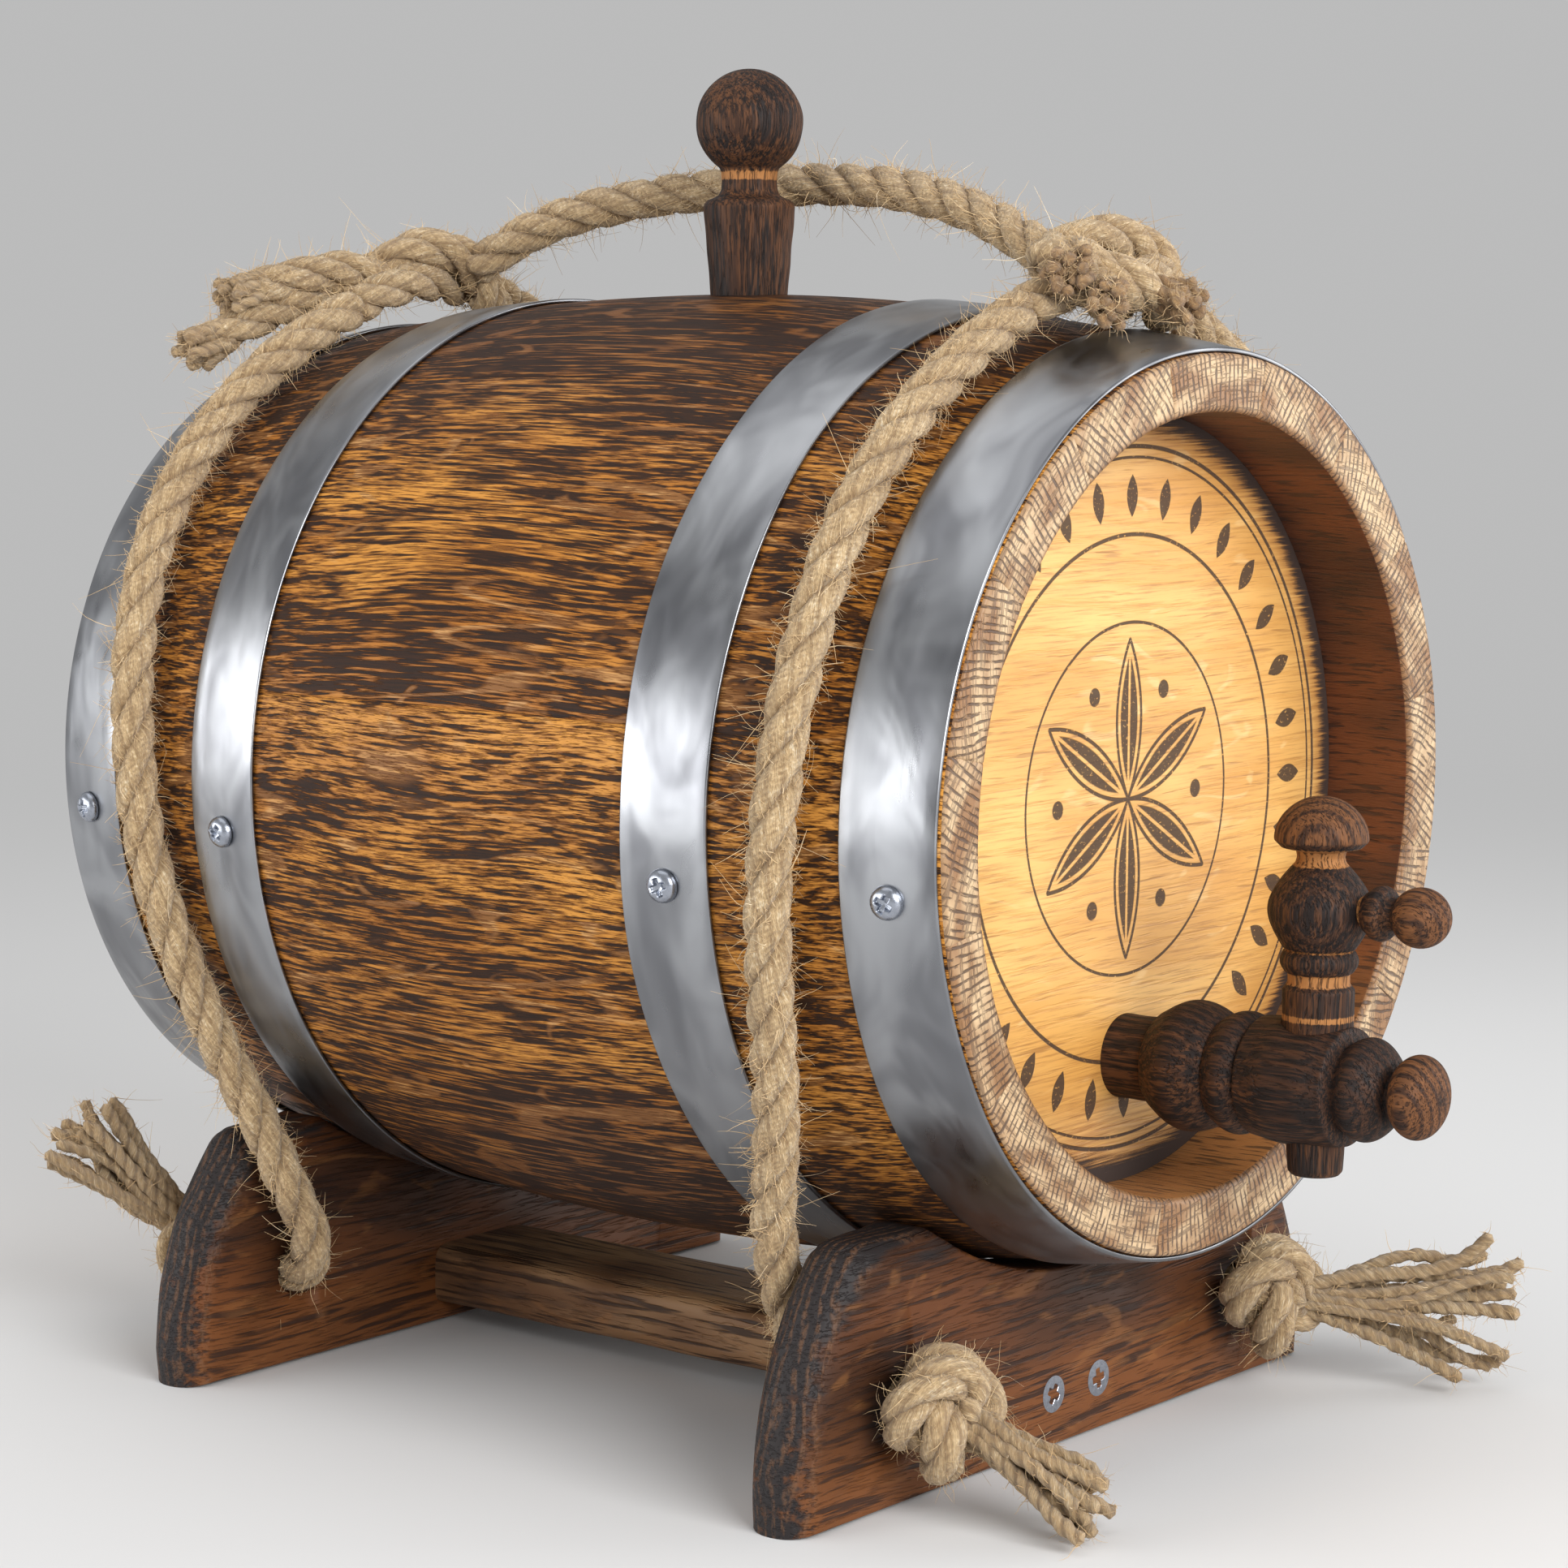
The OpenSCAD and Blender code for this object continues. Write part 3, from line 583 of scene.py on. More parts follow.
    def group(self, tree: bpy.types.NodeTree, inputs: dict) -> list[Value]:
        """Places a shared effect with its own values."""
        made = self.tree.nodes.new("ShaderNodeGroup")
        made.node_tree = tree
        for key, value in inputs.items():
            self.feed(made.inputs[key], value)
        return [Value(self, out) for out in made.outputs]

    def oak(self, grain: Socket, long: object, wide: float) -> list[Value]:
        """The four values of the shared oak grain, for dashes of a given length and width in metres."""
        return self.group(oak_grain(), {"Place": grain, "Length": long, "Width": wide})


def shared_effect(
    name: str, inputs: dict[str, str], outputs: dict[str, str]
) -> tuple[bpy.types.NodeTree, Painter, dict[str, Value], Sockets]:
    """Starts a shader node group with named sockets.

    Args:
        name: The group's name.
        inputs: Socket kinds by name: Float, Vector or Color.
        outputs: The same for what comes out.

    Returns:
        The group, its painter, its input sockets and its output sockets, each by name.
    """
    tree = bpy.data.node_groups.new(name, "ShaderNodeTree")
    for key, kind in inputs.items():
        tree.interface.new_socket(key, in_out="INPUT", socket_type=f"NodeSocket{kind}")
    for key, kind in outputs.items():
        tree.interface.new_socket(key, in_out="OUTPUT", socket_type=f"NodeSocket{kind}")
    paint = Painter(tree)
    start, end = paint.node("NodeGroupInput"), paint.node("NodeGroupOutput")
    given = {key: Value(paint, start.outputs[key]) for key in inputs}
    return tree, paint, given, {key: end.inputs[key] for key in outputs}


def oak_grain() -> bpy.types.NodeTree:
    """The shared grain of oak, built once.

    Place runs along the grain in X, in metres. Dash is a noise drawn out into short dark dashes,
    Pore the fine open pores between them, Cloud the slow drift of light and dark, and Fleck the pale
    smooth rays that cross the grain.
    """
    if "oak grain" in bpy.data.node_groups:
        return bpy.data.node_groups["oak grain"]
    kinds = {"Place": "Vector", "Length": "Float", "Width": "Float"}
    tree, paint, given, out = shared_effect(
        "oak grain", kinds, {"Dash": "Float", "Pore": "Float", "Cloud": "Float", "Fleck": "Float"})
    x, y, z = paint.split(given["Place"])
    sway = paint.noise(given["Place"], (14, 30, 30), 1.0)
    y = y + (sway - 0.5) * 0.006
    long = x / given["Length"]
    wide = y / given["Width"]
    deep = z / given["Width"]
    paint.feed(out["Dash"], paint.noise(paint.combine(long, wide, deep), 1.0, 2.5, 0.6))
    fine = paint.combine(long * 2.2, wide * 2.6, deep)
    paint.feed(out["Pore"], paint.noise(fine, 1.0, 2.0, 0.6))
    paint.feed(out["Cloud"], paint.noise(given["Place"], (16, 42, 42), 2.0))
    paint.feed(out["Fleck"], paint.noise(given["Place"], (34, 95, 95), 2.0, 0.5, 1.6))
    return tree


def soot() -> bpy.types.NodeTree:
    """The shared scorch, built once: where Heat is high the colour goes to soot, in ragged tongues."""
    if "soot" in bpy.data.node_groups:
        return bpy.data.node_groups["soot"]
    kinds = {"Color": "Color", "Heat": "Float", "Ragged": "Float", "Soot": "Color"}
    tree, paint, given, out = shared_effect("soot", kinds, {"Color": "Color", "Burnt": "Float"})
    edge = given["Heat"] + (given["Ragged"] - 0.5) * 1.5
    burnt = paint.step(edge, 0.35, 0.75)
    paint.feed(out["Color"], paint.mix(burnt, given["Color"], given["Soot"]))
    paint.feed(out["Burnt"], burnt)
    return tree


@dataclass(frozen=True)
class Finish:
    """A finish: its name, and how glossy it is."""

    name: str
    roughness: float = 0.5

    def material(self) -> bpy.types.Material:
        """The finish's material, built the first time it is asked for."""
        if self.name in bpy.data.materials:
            return bpy.data.materials[self.name]
        made = bpy.data.materials.new(self.name)
        made.use_nodes = True
        made.node_tree.nodes.clear()
        paint = Painter(made.node_tree)
        shader = paint.node("ShaderNodeBsdfPrincipled", {"Roughness": self.roughness})
        end = paint.node("ShaderNodeOutputMaterial")
        made.node_tree.links.new(shader.outputs[0], end.inputs[0])
        self.paint(paint, shader)
        return made

    def paint(self, paint: Painter, shader: bpy.types.Node) -> None:
        """Fills in the shader. Each kind of finish has its own."""
        raise NotImplementedError


@dataclass(frozen=True)
class StaveOak(Finish):
    """The staves' brushed and scorched outer face, and their scorched inside."""

    light: Colour = (0.72, 0.325, 0.062)
    gold: Colour = (0.46, 0.175, 0.028)
    middle: Colour = (0.155, 0.052, 0.012)
    dark: Colour = (0.026, 0.013, 0.009)
    coal: Colour = (0.014, 0.010, 0.009)

    def paint(self, paint: Painter, shader: bpy.types.Node) -> None:
        """Lays dashes along each stave, with painted shade beside the hoops, on the top and under the belly."""
        x, y, z = paint.from_middle()
        number, local, chance = paint.stave(x, z)
        grain = paint.combine(y + chance * 3.7, local * 0.041 + number * 0.31, paint.length(x, z))
        dash, pore, cloud, fleck = paint.oak(grain, chance * 0.012 + 0.0095, 0.00078)
        broad = paint.noise(grain, (38, 300, 300), 3.0, 0.6)
        # Painted shade: the hoops' shadows on the wood beside them, a darker top and a darker underside of the
        # belly. It also thickens the dark dashes there.
        far = abs(y)
        near = paint.most(paint.step(far, 0.04, 0.054), paint.step(far, 0.084, 0.07))
        band = near * paint.step(far, 0.1045, 0.099)
        top_shade = paint.step(z, 0.070, 0.100)
        belly_shade = paint.step(z, -0.048, -0.096)
        painted_shade = band * 0.04 + (top_shade * 0.09 + belly_shade * 0.11)
        drift = (cloud - 0.5) * 0.3 + (broad - 0.5) * 0.36 + (chance - 0.6) * 0.04
        level = dash + drift + painted_shade
        stain = paint.step(level, 0.40, 0.56)
        marks = paint.step(level, 0.525, 0.61)
        pores = paint.step(pore, 0.52, 0.62) * 0.75
        tone = paint.mix(paint.step(cloud + chance * 0.12, 0.3, 0.74), self.light, self.gold)
        arc = paint.noise(grain, (15, 130, 130), 0.0)
        arc = paint.step(abs(arc - 0.55), 0.045, 0.022) * paint.step(cloud, 0.5, 0.62)
        rays = paint.most(paint.step(fleck, 0.6, 0.68), arc) * 0.62
        tone = paint.mix(rays, tone, (0.70, 0.42, 0.18))
        marks = marks * (1.0 - paint.math("MULTIPLY", rays, 1.5, clamp=True))
        # The painted shade colour, laid over the tone where the shade masks are.
        tone = paint.mix(paint.math("MULTIPLY", painted_shade, 5.2, clamp=True), tone, (0.16, 0.055, 0.017))
        tone = paint.mix(stain * 0.78, tone, self.middle)
        tone = paint.mix(pores, tone, self.middle)
        tone = paint.mix(marks * 0.94, tone, paint.mix(paint.step(pore, 0.40, 0.58), self.dark, self.coal))
        paint.coat(shader, tone, 1.0 - paint.most(marks, pores), 0.00026, marks * 0.14 + self.roughness)
        shader.inputs["Specular IOR Level"].default_value = 0.13


@dataclass(frozen=True)
class EndGrain(Finish):
    """The staves' end faces: pale, with dark lines in towards the middle and fine ones across."""

    pale: Colour = (0.60, 0.42, 0.24)
    brown: Colour = (0.27, 0.135, 0.055)
    dark: Colour = (0.050, 0.025, 0.015)

    def paint(self, paint: Painter, shader: bpy.types.Node) -> None:
        """Draws growth rings and rays in each stave's own angle."""
        x, _, z = paint.from_middle()
        number, local, chance = paint.stave(x, z)
        radius = paint.length(x, z)
        tilt = (chance - 0.48) * 1.15
        wide = local * 0.037
        deep = radius - 0.088
        turn_cos, turn_sin = paint.math("COSINE", tilt), paint.math("SINE", tilt)
        across = deep * turn_sin + wide * turn_cos
        level = deep * turn_cos - wide * turn_sin
        spot = paint.combine(across, level, number * 0.7)
        wave = paint.noise(spot, (190, 90, 1), 3.0)
        rings = paint.math("SINE", across * 3500.0 + wave * 11.0)
        broken = paint.noise(spot, (900, 330, 1), 3.0)
        lines = paint.step(rings, 0.15, 0.9) * paint.step(broken, 0.34, 0.54)
        rays = paint.noise(spot, (110, 1900, 1), 2.0)
        cross = paint.step(rays, 0.53, 0.62) * 0.6
        cloud = paint.noise(spot, (55, 130, 1), 2.0)
        tone = paint.mix(paint.step(cloud, 0.35, 0.65), self.pale, self.brown)
        rim = paint.most(paint.step(radius, 0.0842, 0.0822), paint.step(radius, 0.0922, 0.094) * 0.6)
        tone = paint.mix(rim, tone, self.brown)
        marks = paint.most(lines, cross)
        paint.coat(shader, paint.mix(marks * 0.85, tone, self.dark), 1.0 - marks, 0.00025)


@dataclass(frozen=True)
class BoreOak(Finish):
    """The red-brown wall inside the stave ends, sawn along the cask."""

    def paint(self, paint: Painter, shader: bpy.types.Node) -> None:
        """Lays saw lines along the cask over scorched red wood, with painted light on its lower part."""
        x, y, z = paint.from_middle()
        grain = paint.combine(y, paint.math("ARCTAN2", x, z) * 0.082)
        dash, pore, cloud, _ = paint.oak(grain, 0.012, 0.0011)
        tone = paint.mix(paint.step(cloud, 0.35, 0.65), (0.15, 0.043, 0.013), (0.06, 0.020, 0.009))
        # Painted light: lighter towards the bottom, where light falls on the lower wall of the recess.
        tone = paint.mix(paint.step(z, -0.030, -0.078) * 0.8, tone, (0.42, 0.185, 0.055))
        marks = paint.step(dash, 0.5, 0.62) * 0.8
        tone = paint.mix(marks, tone, (0.03, 0.014, 0.009))
        paint.coat(shader, tone, 1.0 - paint.most(marks, pore), 0.0003)


@dataclass(frozen=True)
class HeadOak(Finish):
    """A head's pale planed boards, with a scorched rim and rings and a rosette burnt in."""

    burnt_design: bool = True
    light: Colour = (0.83, 0.49, 0.155)
    gold: Colour = (0.64, 0.315, 0.075)
    brown: Colour = (0.24, 0.105, 0.035)
    char: Colour = (0.030, 0.015, 0.010)
    petal: float = 0.034

    def paint(self, paint: Painter, shader: bpy.types.Node) -> None:
        """Lays level grain, burns the rim in tongues along it, and draws thin rings and a rosette."""
        x, y, z = paint.from_middle()
        radius = paint.length(x, z)
        grain = paint.combine(x, z, y)
        dash, pore, cloud, fleck = paint.oak(grain, 0.022, 0.0013)
        sway = paint.noise(grain, (9, 26, 1), 2.0, 0.5)
        ring = paint.math("SINE", z * 1250.0 + sway * 42.0)
        growth = paint.step(ring, 0.1, 1.0) * paint.step(pore, 0.35, 0.6)
        tone = paint.mix(paint.step(cloud, 0.3, 0.7), self.light, self.gold)
        tone = paint.mix(growth * 0.55, tone, self.gold)
        marks = paint.step(dash, 0.6, 0.7) * 0.45
        tone = paint.mix(marks, tone, self.brown)
        tone = paint.mix(paint.step(fleck, 0.62, 0.7) * 0.35, tone, (0.92, 0.66, 0.32))
        heat = paint.step(radius, 0.073, 0.0835) + paint.step(z, -0.05, -0.08) * 0.22
        ragged = paint.noise(grain, (48, 1500, 1), 5.0, 0.7)
        edge = (ragged - 0.5) * 2.2 + heat
        tone = paint.mix(paint.step(radius, 0.058, 0.08) * 0.35, tone, self.brown)
        tone = paint.mix(paint.step(edge, -0.1, 0.55) * 0.72, tone, (0.3, 0.12, 0.03))
        tone, burnt = paint.group(soot(), {"Color": tone, "Heat": heat, "Ragged": ragged, "Soot": self.char})
        if self.burnt_design:
            rough_ink = paint.noise(grain, (900, 1500, 1), 2.0)
            rings = ((0.0745, 0.00042), (0.0722, 0.00028), (0.0560, 0.00040), (0.0375, 0.00030))
            ink = paint.most(
                *(self.ring(paint, radius, place, half) for place, half in rings),
                self.border(paint, x, z, radius), self.rosette(paint, x, z, radius))
            ink = ink * paint.step(rough_ink, 0.2, 0.42)
            tone = paint.mix(ink * 0.92, tone, self.char)
            burnt = paint.most(burnt, ink)
        low = paint.most(marks, growth * 0.4, burnt)
        paint.coat(shader, tone, 1.0 - low, 0.00016, burnt * 0.25 + self.roughness)

    def ring(self, paint: Painter, radius: Value, place: float, half: float) -> Value:
        """A burnt circle: 1 where the radius is within half its width of its place."""
        return paint.step(abs(radius - place), half * 1.35, half * 0.75)

    def border(self, paint: Painter, x: Value, z: Value, radius: Value) -> Value:
        """Leaf-shaped burnt marks between the two outer rings, 32 in the turn."""
        side = abs(paint.sector(x, z, 32)[1] * 0.0125)
        rise = (radius - 0.0641) / 0.0046
        leaf = 1.0 - rise * rise
        return paint.step(leaf * 0.0021 - side, 0.0, 0.00022)

    def rosette(self, paint: Painter, x: Value, z: Value, radius: Value) -> Value:
        """A six-petal rosette: petals burnt solid beside a bare vein, with a dot between each pair."""
        local = paint.sector(x, z, 6)[1] * (math.tau / 6)
        tall = radius * paint.math("COSINE", local)
        wide = abs(radius * paint.math("SINE", local))
        reach = self.petal
        cx, cy = reach * math.sin(math.radians(60)), reach * math.cos(math.radians(60))
        off = paint.length(wide + cx, tall - cy)
        ink = self.ring(paint, off, reach, 0.00040)
        inside = paint.step(off, reach - 0.0012, reach - 0.0016)
        vein = paint.step(wide, 0.00028, 0.00055)
        ink = paint.most(ink, inside * vein) * paint.step(radius, reach + 0.0006, reach)
        gap = math.tau / 12
        dot = paint.length(wide - 0.026 * math.sin(gap), tall - 0.026 * math.cos(gap))
        return paint.most(ink, paint.step(dot, 0.0021, 0.0018))


@dataclass(frozen=True)
class CharredOak(Finish):
    """Turned wood charred almost black, rubbed brown on its ridges and bare in its grooves."""

    axis: tuple[int, int, int] = (0, 0, 1)
    centre: Colour = (0.0, 0.0, 0.0)
    black: Colour = (0.015, 0.010, 0.009)
    brown: Colour = (0.080, 0.033, 0.016)
    rubbed: Colour = (0.185, 0.074, 0.027)
    bare: Colour = (0.46, 0.20, 0.062)

    def paint(self, paint: Painter, shader: bpy.types.Node) -> None:
        """Lays grain along the piece's own axis and lets the wear value rub it through."""
        x, y, z = paint.from_middle(self.centre)
        grain = paint.combine(z, x, y) if self.axis[2] else paint.combine(y, x, z)
        dash, pore, cloud, _ = paint.oak(grain, 0.014, 0.0007)
        first, second = (x, y) if self.axis[2] else (x, z)
        rings = paint.math("SINE", first * 2300.0 + cloud * 11.0 + second * 1100.0)
        wear = paint.wear()
        ridge = paint.step(wear + (cloud - 0.5) * 1.3, 0.40, 1.05)
        streak = paint.step(dash, 0.46, 0.62)
        patch = paint.step(dash * 0.7 + cloud, 0.88, 1.06)
        tone = paint.mix(paint.step(rings, -0.1, 0.95) * 0.42, self.black, self.brown)
        tone = paint.mix(streak * 0.55, tone, self.brown)
        tone = paint.mix(patch * 0.38, tone, self.rubbed)
        layered = paint.step(rings, 0.92, 0.0) * 0.72 + streak * 0.28
        tone = paint.mix(ridge * layered, tone, self.rubbed)
        open_wood = paint.step((dash - 0.5) * 1.1 - wear, 0.42, 0.85)
        tone = paint.mix(open_wood * 0.8, tone, self.bare)
        tone = paint.mix(paint.step(pore, 0.54, 0.64) * 0.75, tone, self.black)
        height = rings * 0.2 - paint.step(pore, 0.52, 0.66)
        paint.coat(shader, tone, height, 0.00022, pore * 0.35 + (self.roughness - 0.15))
        shader.inputs["Specular IOR Level"].default_value = 0.22


@dataclass(frozen=True)
class CradleOak(Finish):
    """The cradle's stained boards: brown with dark level grain, scorched at their rounded ends."""

    along_y: bool = False

    def paint(self, paint: Painter, shader: bpy.types.Node) -> None:
        """Lays level grain and scorches the boards where the wear value says that they bend away; on the
        stretcher, painted light and a painted shadow by the rear board.
        """
        x, y, z = paint.split(paint.place())
        grain = paint.combine(y, x, z) if self.along_y else paint.combine(x, z, y)
        dash, pore, cloud, fleck = paint.oak(grain, 0.024, 0.0014)
        if self.along_y:
            # On the stretcher the lighter brown than the boards is painted light, and the soot that grows towards
            # the rear board is painted shadow.
            tone = paint.mix(paint.step(cloud, 0.35, 0.7), (0.42, 0.245, 0.12), (0.15, 0.07, 0.032))
            heat = paint.step(y, -0.02, 0.1) * 0.45
        else:
            tone = paint.mix(paint.step(cloud, 0.35, 0.65), (0.125, 0.041, 0.012), (0.048, 0.019, 0.009))
            tone = paint.mix(paint.step(z, 0.03, 0.004) * 0.55, tone, (0.24, 0.082, 0.021))
            heat = paint.wear() * 0.85 + paint.step(z, 0.026, 0.06) * 0.4
        tone = paint.mix(paint.step(dash, 0.5, 0.64) * 0.85, tone, (0.022, 0.011, 0.008))
        tone = paint.mix(paint.step(fleck, 0.6, 0.7) * 0.25, tone, (0.36, 0.15, 0.045))
        ragged = paint.noise(grain, (40, 300, 300), 3.0, 0.6)
        black = (0.022, 0.018, 0.018)
        tone, burnt = paint.group(soot(), {"Color": tone, "Heat": heat, "Ragged": ragged, "Soot": black})
        curve = paint.noise(paint.place(), (20, 90, 34), 2.0)
        layers = paint.math("SINE", y * 2600.0 + curve * 34.0)
        broken = paint.noise(paint.place(), (900, 900, 420), 3.0)
        ends = paint.step(layers, -0.2, 1.0) * paint.step(broken, 0.36, 0.6)
        # On the stretcher, burnt is the painted shadow by the rear board.
        ends = burnt if self.along_y else ends * paint.step(paint.wear(), 0.05, 0.5)
        tone = paint.mix(ends * 0.5, tone, (0.17, 0.082, 0.04))
        height = ends * 0.5 - paint.most(paint.step(dash, 0.5, 0.64), paint.step(pore, 0.55, 0.66))
        paint.coat(shader, tone, height, 0.00025)
        shader.inputs["Specular IOR Level"].default_value = 0.24


@dataclass(frozen=True)
class PolishedSteel(Finish):
    """A hoop of stainless strip, buffed by hand: soft swirls, slight dents and fine scratches."""

    def paint(self, paint: Painter, shader: bpy.types.Node) -> None:
        """Makes blotchy gloss, faint dents and scratches round the hoop, with painted shade towards its bottom."""
        x, y, z = paint.from_middle()
        spot = paint.combine(paint.math("ARCTAN2", x, z) * 0.1, y)
        blotch = paint.noise(spot, (34, 60, 1), 2.0, 0.5, 0.9)
        swirl = paint.noise(spot, (70, 150, 1), 1.0, 0.5, 0.8)
        scratch = paint.noise(spot, (40, 5200, 1), 2.0)
        tone = paint.mix(paint.step(blotch, 0.3, 0.7), (0.19, 0.195, 0.21), (0.38, 0.39, 0.41))
        # Painted shade and painted dark reflection: darker towards the bottom of each hoop.
        tone = paint.mix(paint.step(z, -0.02, -0.095) * 0.5, tone, (0.13, 0.13, 0.135))
        paint.feed(shader.inputs["Base Color"], tone)
        paint.feed(shader.inputs["Roughness"], swirl * 0.3 + (self.roughness - 0.06))
        dents = paint.bump(swirl * 0.35 + blotch, 0.00022)
        paint.feed(shader.inputs["Normal"], paint.bump(scratch, 0.000006, dents))
        shader.inputs["Metallic"].default_value = 1.0


@dataclass(frozen=True)
class PlatedScrew(Finish):
    """Bright bluish plating on a screw."""

    def paint(self, paint: Painter, shader: bpy.types.Node) -> None:
        """Dulls the bright plating a little where it is handled."""
        smear = paint.noise(paint.place(), 900.0, 2.0)
        tone = paint.mix(smear, (0.27, 0.29, 0.34), (0.46, 0.49, 0.55))
        paint.coat(shader, tone, smear, 0.00003, smear * 0.2 + self.roughness)
        shader.inputs["Metallic"].default_value = 1.0


@dataclass(frozen=True)
class Jute(Finish):
    """Straw-coloured jute: fine yarns twisted against the strands, with painted shade in deeper brown between
    them.
    """

    straw: Colour = (0.72, 0.52, 0.285)
    sand: Colour = (0.44, 0.295, 0.150)
    blond: Colour = (0.93, 0.79, 0.56)
    # The painted shade colour for the grooves between yarns and between strands.
    deep: Colour = (0.17, 0.090, 0.036)
    yarns: float = 5.0
    lean: float = 0.645

    def paint(self, paint: Painter, shader: bpy.types.Node) -> None:
        """Twists yarns and fibres along the strand's own UV, and paints shade into its grooves from the value that
        the piece carries.

        U runs along the strand in centimetres and V once round it.
        """
        u, v, _ = paint.split(paint.node("ShaderNodeUVMap", uv_map="UVMap").outputs[0])
        lean = u * self.lean + v
        solid = paint.place()
        stray = paint.noise(solid, 700.0, 2.0)
        yarn = paint.math("COSINE", stray * 1.6 + lean * (self.yarns * math.tau))
        fibre = paint.noise(paint.combine(u * 5.0, lean * 62.0, u * 1.5), 1.0, 3.0, 0.7)
        ply = paint.noise(paint.combine(u * 9.0, lean * 16.0), 1.0, 2.0, 0.6)
        patch = paint.noise(solid, 120.0, 2.0)
        level = ply * 0.6 + (patch * 0.4 + fibre)
        tone = paint.mix(paint.step(level, 0.82, 1.18), self.sand, self.straw)
        tone = paint.mix(paint.step(level, 1.08, 1.30), tone, self.blond)
        # Painted shade: deeper brown in the grooves between the yarns and, where the piece's value is below 0,
        # between the strands.
        tone = paint.mix(paint.step(yarn, -0.35, -1.0) * 0.38, tone, self.deep)
        tone = paint.mix(paint.math("MULTIPLY", paint.wear(), -1.0, clamp=True), tone, self.deep)
        paint.coat(shader, tone, ply * 0.5 + fibre, 0.0007)
        shader.inputs["Sheen Weight"].default_value = 0.25
        shader.inputs["Sheen Roughness"].default_value = 0.5
        shader.inputs["Specular IOR Level"].default_value = 0.3


@dataclass(frozen=True)
class PlainGround(Finish):
    """The plain pale ground, which runs out into the backdrop where the camera sees it far off."""

    def paint(self, paint: Painter, shader: bpy.types.Node) -> None:
        """Keeps it plain near the cask and lets it glow like the backdrop further out."""
        x, y, _ = paint.split(paint.place())
        drift = paint.noise(paint.place(), 3.0, 2.0)
        seen = paint.node("ShaderNodeLightPath").outputs["Is Camera Ray"]
        far = paint.step(paint.length(x, y), 0.25, 1.3) * seen
        near = paint.mix(drift, (0.70, 0.70, 0.70), (0.73, 0.73, 0.73))
        paint.feed(shader.inputs["Base Color"], paint.mix(far, near, (0.0, 0.0, 0.0)))
        paint.feed(shader.inputs["Specular IOR Level"], 0.0)
        paint.feed(shader.inputs["Emission Color"], paint.mix(far, (0.0, 0.0, 0.0), (1.0, 1.0, 1.0)))
        paint.feed(shader.inputs["Emission Strength"], BACKDROP)


STAVE_OAK = StaveOak("stave_oak_scorched", 0.42)
END_GRAIN = EndGrain("stave_end_grain", 0.46)
BORE_OAK = BoreOak("stave_bore", 0.5)
FRONT_HEAD = HeadOak("head_oak_burnt", 0.48)
REAR_HEAD = HeadOak("head_oak_plain", 0.48, burnt_design=False)
STEEL = PolishedSteel("hoop_steel_polished", 0.24)
SCREW = PlatedScrew("screw_plated", 0.18)
JUTE = Jute("jute_rope", 0.85)
FRAYED = Jute("jute_frayed", 0.9, straw=(0.70, 0.50, 0.27), sand=(0.47, 0.30, 0.145), yarns=2.0, lean=-1.353)
CUT_JUTE = Jute("jute_cut_end", 0.9, straw=(0.56, 0.34, 0.15), sand=(0.36, 0.20, 0.085),
                blond=(0.78, 0.56, 0.31), yarns=2.0, lean=-1.353)
CRADLE_OAK = CradleOak("cradle_oak_scorched", 0.55)
# The stretcher's copy of the cradle oak carries painted light and painted shadow.
STRETCHER_OAK = CradleOak("stretcher_oak_worn", 0.55, along_y=True)


# ---------------------------------------------------------------- sub-assemblies


